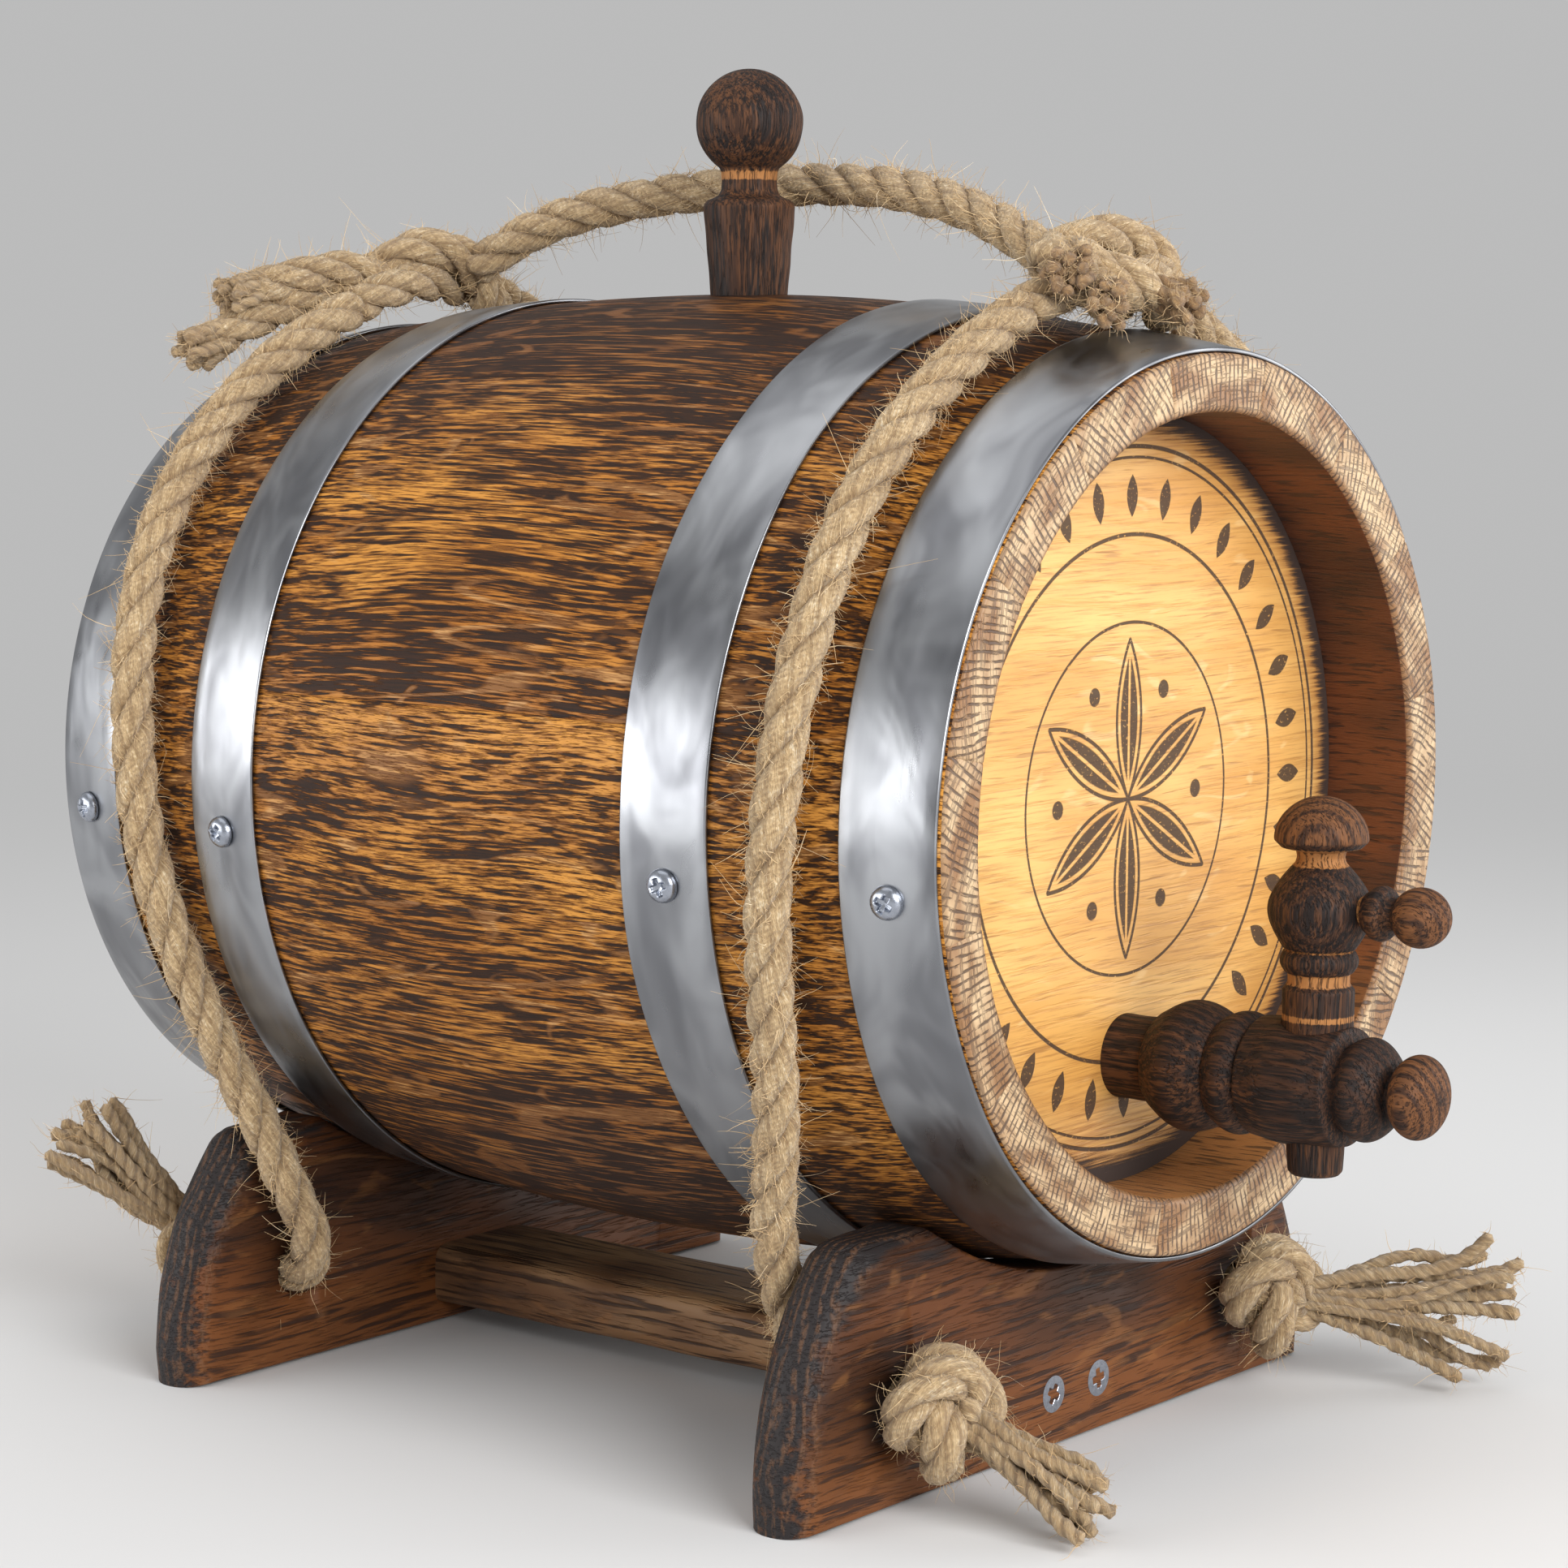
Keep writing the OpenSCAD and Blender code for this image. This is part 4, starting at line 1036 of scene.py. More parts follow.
@dataclass
class Cask:
    """The shell of staves and its two heads."""

    half: float = 125.0
    chime_r: float = 94.0
    bulge: float = 12.0
    bore_r: float = 82.0
    middle_t: float = 14.0
    recess: float = 21.0
    head_t: float = 12.0
    croze: float = 3.0
    croze_half: float = 2.6
    outer_edge: float = 0.7
    inner_lip: float = 1.5

    def radius(self, y: Array | float) -> Array:
        """Outer radius at the distance y from mid-length: a circle's arc from stave end to stave end."""
        arc = (self.half**2 + self.bulge**2) / (2 * self.bulge)
        return self.chime_r + self.bulge - arc + np.sqrt(arc**2 - np.asarray(y, float) ** 2)

    def hollow(self, y: Array) -> Array:
        """Radius of the hollow: an arc that meets the bore just inside each head."""
        half = self.half - self.recess - self.head_t - 4
        rise = self.chime_r + self.bulge - self.middle_t - self.bore_r
        arc = (half**2 + rise**2) / (2 * rise)
        return self.bore_r + rise - arc + np.sqrt(arc**2 - y**2)

    def outline(self) -> tuple[Array, Array]:
        """A stave's outline, once round it, as (y, r) points and the finish of each edge after a point."""
        quarter = np.radians(np.linspace(0, 90, 6))
        h, edge, lip = self.half, self.outer_edge, self.inner_lip
        y = np.linspace(-h + edge, h - edge, 90)
        rim = self.radius(h)
        outer = np.stack([y, self.radius(y)], 1)
        corner = np.stack([h - edge + edge * np.sin(quarter), rim - edge + edge * np.cos(quarter)], 1)[1:]
        face = np.stack([np.full(9, h), np.linspace(rim - edge, self.bore_r + lip, 9)], 1)[1:]
        inner = np.stack([h - lip + lip * np.cos(quarter), self.bore_r + lip - lip * np.sin(quarter)], 1)[1:]
        mid = h - self.recess - self.head_t / 2
        out, into, deep = mid + self.croze_half, mid - self.croze_half, self.bore_r + self.croze
        bore = np.array([[h - 10, self.bore_r], [out, self.bore_r], [out, deep], [into, deep], [into, self.bore_r],
                         [mid - 10, self.bore_r]])
        inside = np.linspace(mid - 10, -mid + 10, 26)[1:-1]
        rear = np.vstack([corner, face, inner, bore])
        front = rear[::-1] * [-1, 1]
        loop = np.vstack([outer, rear, np.stack([inside, self.hollow(inside)], 1), front[:-1]])
        ends = np.repeat([1, 2], [len(corner) - 1 + len(face) + len(inner), len(bore)])
        finish = np.concatenate([np.zeros(len(outer)), [1], ends, np.full(len(inside) + 1, 2), ends[::-1], [1]])
        return loop, np.resize(finish, len(loop)).astype(int)

    def stave(self, number: int) -> Shell:
        """One stave: its outline swung through a sixteenth of a turn, eased at its joints."""
        loop, finish = self.outline()
        step = 360 / STAVES
        easing = np.array([0.22, 0.05, 0, 0, 0, 0, 0, 0, 0, 0.05, 0.22])
        share = np.array([-0.5, -0.492, -0.47, -0.35, -0.2, 0, 0.2, 0.35, 0.47, 0.492, 0.5])
        angle = np.radians((number - 1 + share) * step)
        ahead, behind = np.roll(loop, -1, 0), np.roll(loop, 1, 0)
        way = unit(ahead - behind)
        out = np.stack([-way[:, 1], way[:, 0]], 1)
        flat = loop[None] - easing[:, None, None] * out[None]
        y, r = flat[..., 0], flat[..., 1]
        points = np.stack([r * np.sin(angle)[:, None], y, r * np.cos(angle)[:, None]], -1)
        return grid(points, finish=np.repeat(finish[None], len(angle) - 1, 0)).capped(len(loop), 2)

    def build(self) -> None:
        """Builds and places the staves, and dresses the heads."""
        finishes = [STAVE_OAK, END_GRAIN, BORE_OAK]
        for number in range(1, STAVES + 1):
            piece = make_piece(f"oak_stave_{number:02d}", self.stave(number), finishes, 32)
            if number == 1:
                cut(piece, [Bung().hole()])
            place(piece, Body.CASK, "stave_oak", f"stave_{number:02d}")
        for name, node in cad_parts.items():
            if "_head_" in name:
                plain = STAVE_OAK if name.endswith("dowels") else REAR_HEAD
                dress(node, FRONT_HEAD if name.startswith("front") and plain is REAR_HEAD else plain)


def dress(node: bpy.types.Object, finish: Finish) -> None:
    """Gives a CAD node a finish in all its material slots."""
    for slot in node.material_slots:
        slot.material = finish.material()
    log.info("%s is dressed in %s", node.name, finish.name)


@dataclass
class Hoops:
    """Four bands of polished steel strip, each held by one pan-head screw."""

    cask: Cask
    thick: float = 1.0
    wide: float = 21.0
    lift: float = 0.1
    screw_angle: float = 96.0
    places: dict[str, float] = field(default_factory=lambda: {
        "head_hoop_front": -113.5, "quarter_hoop_front": -63.0,
        "quarter_hoop_rear": 63.0, "head_hoop_rear": 113.5})

    def band(self, y: float, seed: int) -> Shell:
        """A band bent to the cask: a rounded strip's outline swung round, with hand-made unevenness."""
        a = ring_of(480)
        half, edge = self.wide / 2, 0.42
        turn = np.radians(np.linspace(0, 90, 4))
        across = np.concatenate([
            -half + edge * (1 - np.sin(turn[::-1])), np.linspace(-half + edge, half - edge, 9)[1:-1],
            half - edge * (1 - np.sin(turn)), half - edge * (1 - np.cos(turn)),
            np.linspace(half - edge, -half + edge, 5)[1:-1], -half + edge * (1 - np.cos(turn[::-1]))])
        height = np.concatenate([
            self.thick - edge * (1 - np.cos(turn[::-1])), np.full(7, self.thick),
            self.thick - edge * (1 - np.cos(turn)), edge * (1 - np.sin(turn)),
            np.zeros(3), edge * (1 - np.sin(turn[::-1]))])
        across, height = across[None, :], height[None, :]
        side = across / half
        wave = 0.30 * ripple(seed, a[:, None], side * 1.3, reach=9)
        place_y = y + across + np.abs(side) ** 3 * wave
        top = height / self.thick
        dent = 0.035 * ripple(seed + 50, a[:, None], side * 1.2, waves=14, reach=15) * top
        radius = self.cask.radius(place_y) + self.lift + height + dent
        points = np.stack([radius * np.sin(a)[:, None], place_y, radius * np.cos(a)[:, None]], -1)
        return grid(points.transpose(1, 0, 2)[np.r_[0:points.shape[1], 0]])

    def screw_frame(self, y: float) -> tuple[Array, Array]:
        """A screw's directions, as columns, and its seat on the band."""
        arc = (self.cask.half**2 + self.cask.bulge**2) / (2 * self.cask.bulge)
        slope = math.asin(y / arc)
        a = math.radians(-self.screw_angle)
        radial = np.array([math.sin(a), 0, math.cos(a)])
        out = radial * math.cos(slope) + np.array([0, 1, 0]) * math.sin(slope)
        seat = radial * float(self.cask.radius(y)) + np.array([0, y, 0]) + out * (self.lift + self.thick + 0.05)
        along = unit(np.cross(out, radial + [0, 0.3, 0.1]))
        return np.stack([along, np.cross(out, along), out], 1), seat

    def build(self) -> None:
        """Builds and places the bands and their screws."""
        for seed, (name, y) in enumerate(self.places.items()):
            piece = make_piece(f"steel_{name}", self.band(y, seed + 3), [STEEL], 50)
            place(piece, Body.CASK, "hoop_steel", name)
        heads = []
        for k, y in enumerate(self.places.values()):
            turn, seat = self.screw_frame(y)
            heads.append(cross_screw(3.5, 2.38, 1.5, 10, 0.3 + 0.7 * k).moved(turn, seat))
        screws = make_piece("pan_head_screws", joined(heads), [SCREW], 45)
        place(screws, Body.CASK, "screw_chrome", "hoop_screws")


def cross_screw(
    head_r: float, head_h: float, shank_r: float, length: float, turn: float, sunk: bool = False
) -> Shell:
    """A cross-recess screw along Z with its head's seat at z = 0.

    The head's top is a dome, or flat where it is sunk, and the recess is where the lesser of |x| and |y|
    is under half a slot's width while the greater is within the cross.

    Args:
        head_r: Radius of the head.
        head_h: Height of the head, or depth of a sunk one.
        shank_r: Radius of the shank.
        length: Length below the seat.
        turn: Angle of the cross, in radians.
        sunk: True for a countersunk head.

    Returns:
        The closed shell.
    """
    a = ring_of(96)
    tip = np.array([[0, -length], [0.2, -length], [shank_r, -length + 3]])
    if sunk:
        rim = np.array([[shank_r, -head_h], [head_r - 0.1, -0.15], [head_r, 0]])
        k = np.linspace(1, 0, 34)[1:]
        top = np.stack([head_r * k, 0.12 * (1 - k**2)], 1)
    else:
        rim = np.array([[shank_r, 0], [head_r - 0.15, 0], [head_r, 0.2]])
        b = np.radians(np.linspace(0, 90, 36))[1:]
        top = np.stack([head_r * np.cos(b) ** 0.8, 0.2 + (head_h - 0.2) * np.sin(b) ** 0.9], 1)
        top[-1, 0] = 0
    outline = np.vstack([tip, rim, top])
    r, z = outline[:, :1], outline[:, 1:]
    x, y = r * np.cos(a + turn), r * np.sin(a + turn)
    less, more = np.minimum(abs(x), abs(y)), np.maximum(abs(x), abs(y))
    slot, reach = head_r * 0.15, head_r * 0.52
    sink = smooth(slot * 1.5, slot * 0.8, less) * smooth(reach * 1.12, reach * 0.9, more)
    is_top = (np.arange(len(outline)) >= len(tip) + len(rim))[:, None]
    z = z - is_top * sink * (1.5 if not sunk else 1.3) * (1 - 0.5 * more / reach).clip(0, 1)
    return grid(np.stack([r * np.cos(a), r * np.sin(a), z + 0 * x], -1))


@dataclass
class Bung:
    """The turned bung: a taper, a shoulder, a neck and a ball."""

    seat: float = 106.0
    ball_z: float = 38.0
    ball_r: float = 12.0
    slope: float = 1.7 / 20.5

    def outline(self) -> Array:
        """The bung's outline, from its low end to the top of its ball."""
        slope = self.slope
        body = np.array([[0, -17], [8.7 - slope * 17 - 0.6, -17], [8.7 - slope * 17, -16.4], [10.28, 19.0]])
        shoulder = bead(19.4, 10.3, 20.9, 9.4, 0.1, 8)
        cove = np.array([[8.2, 21.3], [6.9, 22.0], [6.3, 23.2], [6.15, 25.0], [6.3, 27.0]])
        return np.vstack([body, shoulder, cove, ball(self.ball_z, self.ball_r, -56, 90)])

    def hole(self) -> Shell:
        """The tapered hole that the bung sits in, as a cutter."""
        low, high = -16.2, 2.0
        hole = rod(low, high, 8.78 + self.slope * low, 8.78 + self.slope * high, 72)
        return hole.moved(np.eye(3), [0, 0, self.seat])

    def build(self) -> None:
        """Builds and places the bung."""
        finish = CharredOak("bung_charred", 0.6, centre=(0, 28, 284))
        shell = turned(self.outline(), 96, 0.06, 11, ((25.4, 27.2, BARE),)).moved(np.eye(3), [0, 0, self.seat])
        place(make_piece("oak_bung", shell, [finish], 50), Body.BUNG, "charred_oak", "bung")


@dataclass
class Tap:
    """The turned tap, with its key and the key's handle."""

    face_y: float = -104.0
    drop: float = 55.0
    key_s: float = 47.5
    handle_z: float = 36.6

    def body_outline(self) -> Array:
        """The tap's outline along its own axis, outwards from the head's face."""
        return np.vstack([
            [[0, -16], [7.9, -16], [8.36, -15.4], [9.0, 0], [9.0, 10.2]],
            bead(10.5, 10.6, 25.6, 11.4, 2.9), [[11.0, 26.0]],
            bead(26.2, 11.4, 34.0, 11.4, 1.6, 14), [[10.9, 34.3]],
            bead(34.7, 12.5, 55.2, 12.3, 1.0), [[11.0, 55.8]],
            bead(56.2, 9.2, 65.4, 6.9, 2.6), [[4.6, 65.9], [4.4, 66.2], [4.4, 66.4]],
            self.nose(71.4, 5.6, 8.8, -62)])

    def nose(self, middle: float, half: float, radius: float, low: float) -> Array:
        """The flattened ball at the tap's tip: (radius cos a, middle + half sin a)."""
        a = np.radians(np.linspace(low, 90, 40))
        return np.stack([radius * np.cos(a), middle + half * np.sin(a)], 1)

    def key_outline(self) -> Array:
        """The key's outline up its own axis, from its lower end to the top of its cap."""
        dome = np.radians(np.linspace(0, 90, 20))
        return np.vstack([
            [[0, -19], [5.0, -19], [5.7, -18.2], [7.38, 13.5], [7.4, 19.6]],
            [[6.9, 20.3], [6.4, 20.8], [6.4, 22.8]],
            bead(23.4, 7.2, 27.5, 7.4, 0.8, 12), [[6.9, 27.9]],
            bead(28.1, 7.4, 45.8, 5.2, 4.4, 34), [[4.9, 47.0], [5.2, 48.3], [8.3, 49.0]],
            np.stack([9.7 * np.cos(dome), 50.4 + 9.1 * np.sin(dome)], 1)])

    def handle_outline(self) -> Array:
        """The handle's outline out from the key's axis: peg, collar, neck and ball."""
        return np.vstack([
            [[0, 4], [3.0, 4], [3.0, 10.9], [3.9, 11.1], [5.5, 13.4], [5.75, 15.0]],
            [[5.1, 16.2], [3.6, 16.8], [3.4, 17.6]],
            ball(23.5, 6.2, -56, 90)])

    def build(self) -> None:
        """Builds the three pieces, bores them and places each on its body."""
        at_tap = np.array([0, self.face_y, -self.drop])
        at_key = at_tap - [0, self.key_s, 0]
        lying = CharredOak("tap_charred", 0.6, axis=(0, 1, 0), centre=tuple(CASK_MIDDLE + at_tap))
        body = turned(self.body_outline(), 96, 0.07, 21, ((68.0, 77.0, RUBBED),), -0.25)
        tap = make_piece("oak_tap_body", body.moved(OUT_OF_FRONT, at_tap), [lying], 50)
        key_hole = rod(-15, 15, 5.98, 7.55).moved(np.eye(3), at_key)
        waterway = rod(-17, self.key_s, 3).moved(OUT_OF_FRONT, at_tap)
        cut(tap, [key_hole, waterway])
        place(tap, Body.TAP, "charred_oak", "tap_body")
        upright = CharredOak("key_charred", 0.6, centre=tuple(CASK_MIDDLE + at_key))
        zones = ((13.3, 14.6, BARE), (20.6, 23.0, BARE), (31.0, 43.0, SOOTY), (45.2, 49.2, BARE),
                 (50.4, 60.0, RUBBED))
        turning = turned(self.key_outline(), 96, 0.06, 31, zones)
        key = make_piece("oak_tap_key", turning.moved(np.eye(3), at_key), [upright], 50)
        sideways = np.array([[0, 0, 1], [0, 1, 0], [-1, 0, 0]])
        spout, inlet = rod(-20, 4, 2.75).moved(np.eye(3), at_key), rod(0, 14, 2).moved(sideways, at_key)
        cut(key, [spout, inlet])
        place(key, Body.KEY, "charred_oak", "tap_key")
        zones = ((9.0, 11.5, BARE), (12.0, 16.0, SOOTY), (19.5, 30.0, RUBBED))
        turning = turned(self.handle_outline(), 64, 0.04, 41, zones, -0.25)
        handle = turning.moved(OUT_OF_FRONT, at_key + [0, 0, self.handle_z])
        place(make_piece("oak_key_handle", handle, [lying], 50), Body.KEY, "charred_oak", "key_handle")


@dataclass
class Cradle:
    """Two boards hollowed to the cask, a stretcher between them and four sunk screws."""

    shift: float = -4.0
    width: float = 192.0
    height: float = 56.0
    thick: float = 16.0
    middle_y: float = 87.5
    side_r: float = 68.0
    horn_r: float = 8.0
    hole_x: float = 63.0
    hole_z: float = 22.0
    hole_r: float = 5.5
    side_z: float = 8.0
    foot_points: int = 38
    foot_rise: float = 1.2
    bar_half: tuple[float, float] = (17.0, 7.5)
    bar_z: float = 12.0
    screw_x: float = 8.5

    def outline(self, saddle_r: float) -> tuple[Array, Array]:
        """A board's outline seen from the front, and how far each point's edge is rounded over.

        Args:
            saddle_r: Radius of the hollow that holds the cask.

        Returns:
            Points as (x, z) from the board's middle and the ground, and the rounding of each.
        """
        side_x = self.width / 2 - self.side_r
        side_z, top_z = self.side_z, self.height - self.horn_r
        reach = self.side_r - self.horn_r
        corner_x = side_x + math.sqrt(reach**2 - (top_z - side_z) ** 2)
        tilt = math.atan2(top_z - side_z, corner_x - side_x)
        start = math.asin(-side_z / self.side_r)
        a = np.linspace(start, tilt, 46)
        side = np.stack([side_x + self.side_r * np.cos(a), side_z + self.side_r * np.sin(a)], 1)
        a = np.linspace(tilt, math.pi / 2, 14)[1:]
        horn = np.stack([corner_x + self.horn_r * np.cos(a), top_z + self.horn_r * np.sin(a)], 1)
        axis_x, axis_z = -self.shift, -GROUND
        drop = axis_z - self.height
        half = math.sqrt(saddle_r**2 - drop**2)
        b = math.asin(half / saddle_r)
        t = np.linspace(b, -b, 60)
        saddle = np.stack([axis_x + saddle_r * np.sin(t), axis_z - saddle_r * np.cos(t)], 1)
        right_top = np.linspace(horn[-1], saddle[0], 8)[1:-1]
        left_top = np.linspace(saddle[-1], horn[-1] * [-1, 1], 10)[1:-1]
        foot = np.linspace(side[0] * [-1, 1], side[0], self.foot_points + 2)[1:-1]
        parts = [side, horn, right_top, saddle, left_top, horn[::-1] * [-1, 1], side[::-1] * [-1, 1], foot]
        sizes = [7.6, 7.4, 5.0, 1.0, 5.0, 7.4, 7.6, 7.6]
        over = np.concatenate([np.full(len(p), s) for p, s in zip(parts, sizes)])
        kernel = np.hanning(11)
        over = np.convolve(np.r_[over[-5:], over, over[:5]], kernel / kernel.sum(), mode="valid")
        return np.vstack(parts), over

    def board(self, end: End, saddle_r: float, seed: int) -> Shell:
        """A board: rings of its outline, drawn in by over (1 - sin a) at over (1 - cos a) from each face."""
        line, over = self.outline(saddle_r)
        way = unit(np.roll(line, -1, 0) - np.roll(line, 1, 0))
        inwards = np.stack([-way[:, 1], way[:, 0]], 1)
        a = np.radians(np.linspace(0, 90, 9))[:, None]
        inset, depth = over * (1 - np.sin(a)), over * (1 - np.cos(a))
        inset = np.vstack([inset, inset[::-1]])
        depth = np.vstack([depth, self.thick - depth[::-1]])
        flat = line[None] + inset[..., None] * inwards[None]
        rounding = np.clip((over - 2) / 5.5, 0, 1) * (1 - inset / np.maximum(over, 1e-3))
        y = end.sign() * self.middle_y - self.thick / 2 + depth
        swell = ripple(seed, flat[..., 0] * 0.06, flat[..., 1] * 0.06, reach=4)
        uneven = 0.25 * swell * np.clip((over - 2) / 5, 0, 1)
        flat = flat + inwards[None] * np.abs(uneven)[..., None]
        feet = self.foot_points
        left, right = flat[:, -feet - 2, :1], flat[:, 1, :1]
        share = np.linspace(0, 1, feet + 2)[None, 1:-1]
        low = self.foot_rise * (1 - np.sin(np.concatenate([a, a[::-1]])))
        flat[:, -feet:, 0] = left + (right - left) * share
        flat[:, -feet:, 1] = low
        flat[:, [0, -feet - 1], 1] = low
        flat[:, [0, -feet - 1], 0] = flat[:, [1, -feet - 2], 0]
        points = np.stack([flat[..., 0] + self.shift, y + 0 * flat[..., 0], flat[..., 1] + GROUND], -1)
        return grid(points, wear=rounding).capped(len(line), 0)

    def stretcher(self) -> Shell:
        """The stretcher: a rounded bar's outline carried along Y, its corners worn unevenly."""
        y = np.linspace(-self.middle_y + self.thick / 2, self.middle_y - self.thick / 2, 90)
        a = ring_of(96)
        x = self.bar_half[0] * np.sign(np.cos(a)) * np.abs(np.cos(a)) ** 0.30
        z = self.bar_half[1] * np.sign(np.sin(a)) * np.abs(np.sin(a)) ** 0.42
        worn = 1 - 0.012 * (1 + ripple(77, a[None, :], y[:, None] * 0.05, reach=4))
        points = np.stack([x * worn + self.shift, y[:, None] + 0 * worn, z * worn + GROUND + self.bar_z], -1)
        middles = points.mean(1, keepdims=True).repeat(len(a), 1)
        return grid(np.concatenate([middles[:1], points, middles[-1:]]))

    def build(self, cask: Cask) -> None:
        """Builds and places the boards, the stretcher and the screws."""
        saddle_r = float(cask.radius(self.middle_y - self.thick / 2)) + 0.1
        for end in End:
            name = f"cradle_{end.value}"
            piece = make_piece(f"oak_{name}", self.board(end, saddle_r, 5 + end.sign()), [CRADLE_OAK], 50)
            middle = np.array([self.shift, end.sign() * self.middle_y, GROUND + self.hole_z])
            spots = [middle + [side * self.hole_x, 0, 0] for side in (-1, 1)]
            cut(piece, [rod(-12, 12, self.hole_r).moved(OUT_OF_FRONT, spot) for spot in spots])
            place(piece, Body.CASK, "cradle_oak", name)
        bar = make_piece("oak_stretcher", self.stretcher(), [STRETCHER_OAK], 50)
        place(bar, Body.CASK, "cradle_oak", "stretcher")
        screws = []
        for k, (side, end) in enumerate(((-1, -1), (1, -1), (-1, 1), (1, 1))):
            face_y = self.middle_y + self.thick / 2 + 0.05
            seat = [self.shift + side * self.screw_x, end * face_y, GROUND + self.bar_z]
            screw = cross_screw(4.0, 2.0, 2.0, 30, 0.5 + 0.9 * k, sunk=True)
            screws.append(screw.moved(OUT_OF_FRONT if end < 0 else OUT_OF_REAR, seat))
        sunk = make_piece("sunk_screws", joined(screws), [SCREW], 45)
        place(sunk, Body.CASK, "screw_chrome", "stretcher_screws")


# Length of one turn of the rope's lay, in millimetres.
PITCH = 31
# How far out a strand's middle lies and how thick the strand is, as shares of the rope's width.
STRAND_OUT, STRAND_HALF = 0.222, 0.279
# The angle between one yarn and the next on a sunflower's spiral, in radians.
GOLDEN_TURN = 2.39996


def laid_rope(path: Array, width: float, phase: float, loose: float = 0.0) -> Shell:
    """Three strands laid round a path.

    Each strand's middle is the path plus c (cos p across + sin p up), where p turns once in a pitch, and
    its own radius is a little over half the rope's, pressed flat where strands meet.

    Args:
        path: Stations of the rope's middle line, in millimetres.
        width: The rope's outer diameter.
        phase: Where the first strand starts.
        loose: How far the strands open towards the path's end.

    Returns:
        Three closed shells as one. Wear goes below 0 in the grooves between strands, and there it stands for
        painted shade.
    """
    _, across, up = carried_frames(path)
    run = run_along(path)
    b = ring_of(25)[None, :]
    end = np.minimum(run, run[-1] - run)
    draw = np.sqrt(np.clip(end / 2.0, 0, 1))
    strands = []
    for k in range(3):
        swell = 1 + 0.06 * ripple(int(run[-1] * 10) + k, run * 0.12, waves=5, reach=5)
        p = (math.tau * (run / PITCH + k / 3) + phase)[:, None]
        centre_r = width * (STRAND_OUT + loose * (run / run[-1]) ** 2)[:, None]
        lobe = np.abs(np.cos(2.5 * (b + 0.405 * run[:, None]) + k))
        strand_r = (width * STRAND_HALF * swell * draw)[:, None] * (0.875 + 0.135 * lobe**0.75)
        flat = 1 - 0.06 * np.cos(2 * b)
        out = centre_r * np.minimum(1, 0.3 + draw[:, None]) + strand_r * flat * np.cos(b)
        aside = strand_r * 1.06 * np.sin(b)
        x = out * np.cos(p) - aside * np.sin(p)
        y = out * np.sin(p) + aside * np.cos(p)
        points = path[:, None] + x[..., None] * across[:, None] + y[..., None] * up[:, None]
        # Painted shade: the value below 0 between the strands and in each strand's pinched lobes darkens the rope
        # there.
        between = smooth(0.45, 1.0, np.abs(np.sin(b / 2))) * 0.75
        groove = -np.maximum(between, 0.55 * (1 - lobe) ** 2) + 0 * run[:, None]
        strands.append(grid(points, wear=groove, uv_size=(run[-1] / 10, 1.0)))
    return joined(strands)


def hairs(path: Array, count: int, width: float, seed: int, reach: float = 5.0, spread: float = 1.0) -> Shell:
    """Stray fibres that stand out of a rope: root + length (t out + t^2 bend), each a thin three-sided thread.

    Args:
        path: Stations of the rope's middle line.
        count: How many fibres.
        width: The rope's diameter at their roots.
        seed: Picks the fibres.
        reach: Their usual length in millimetres.
        spread: How far they lean out.

    Returns:
        All the fibres as one shell of thin closed threads.
    """
    rng = np.random.default_rng(seed)
    along, across, up = carried_frames(path)
    at = rng.integers(1, len(path) - 1, count)
    a = rng.uniform(0, math.tau, count)[:, None]
    out = np.cos(a) * across[at] + np.sin(a) * up[at]
    root = path[at] + out * width * 0.40 + along[at] * rng.uniform(-0.5, 0.5, (count, 1))
    aim = unit(out * spread + along[at] * rng.normal(0, 1.3, (count, 1)) + rng.normal(0, 0.4, (count, 3)))
    bend = rng.normal(0, 0.55, (count, 3))
    curl = rng.normal(0, 0.9, (count, 3))
    length = (rng.gamma(1.5, reach / 2.2, (count, 1)) + 0.8)[:, None]
    rings, sides = 6, 3
    t = np.linspace(0, 1, rings)[None, :, None]
    line = root[:, None] + length * (t * aim[:, None] + t**2 * bend[:, None] * 0.8)
    line = line + np.sin(t * 5.0) * t * curl[:, None] * np.minimum(length, 3.0) * 0.16
    line[..., 2] = np.maximum(line[..., 2], GROUND + 0.3)
    thick = 0.095 * (1 - 0.7 * t)
    side = unit(np.cross(aim, [0.3, 0.2, 0.93]))[:, None]
    other = np.cross(aim[:, None], side)
    c = ring_of(sides)
    ring = line[:, :, None] + thick[..., None] * (
        np.cos(c)[:, None] * side[:, :, None] + np.sin(c)[:, None] * other[:, :, None])
    points = ring.reshape(-1, 3)
    n = np.arange(count)[:, None, None] * rings * sides
    i, j = np.arange(rings - 1)[None, :, None] * sides, np.arange(sides)[None, None, :]
    k = (j + 1) % sides
    faces = np.stack([n + i + j, n + i + sides + j, n + i + sides + k, n + i + k], -1).reshape(-1, 4)
    end = np.arange(sides)
    caps = np.vstack([n[:, 0] + end[::-1], n[:, 0] + (rings - 1) * sides + end]).tolist()
    uv = np.zeros((len(faces), 4, 2))
    uv[..., 0] = np.repeat(rng.uniform(0, 40, count), (rings - 1) * sides)[:, None]
    return Shell(points, faces, uv, np.zeros(len(points)), np.zeros(len(faces), int), caps, [0] * len(caps))


def rows(*columns: list[float]) -> Array:
    """Points from their x, y and z columns."""
    return np.array(columns, float).T


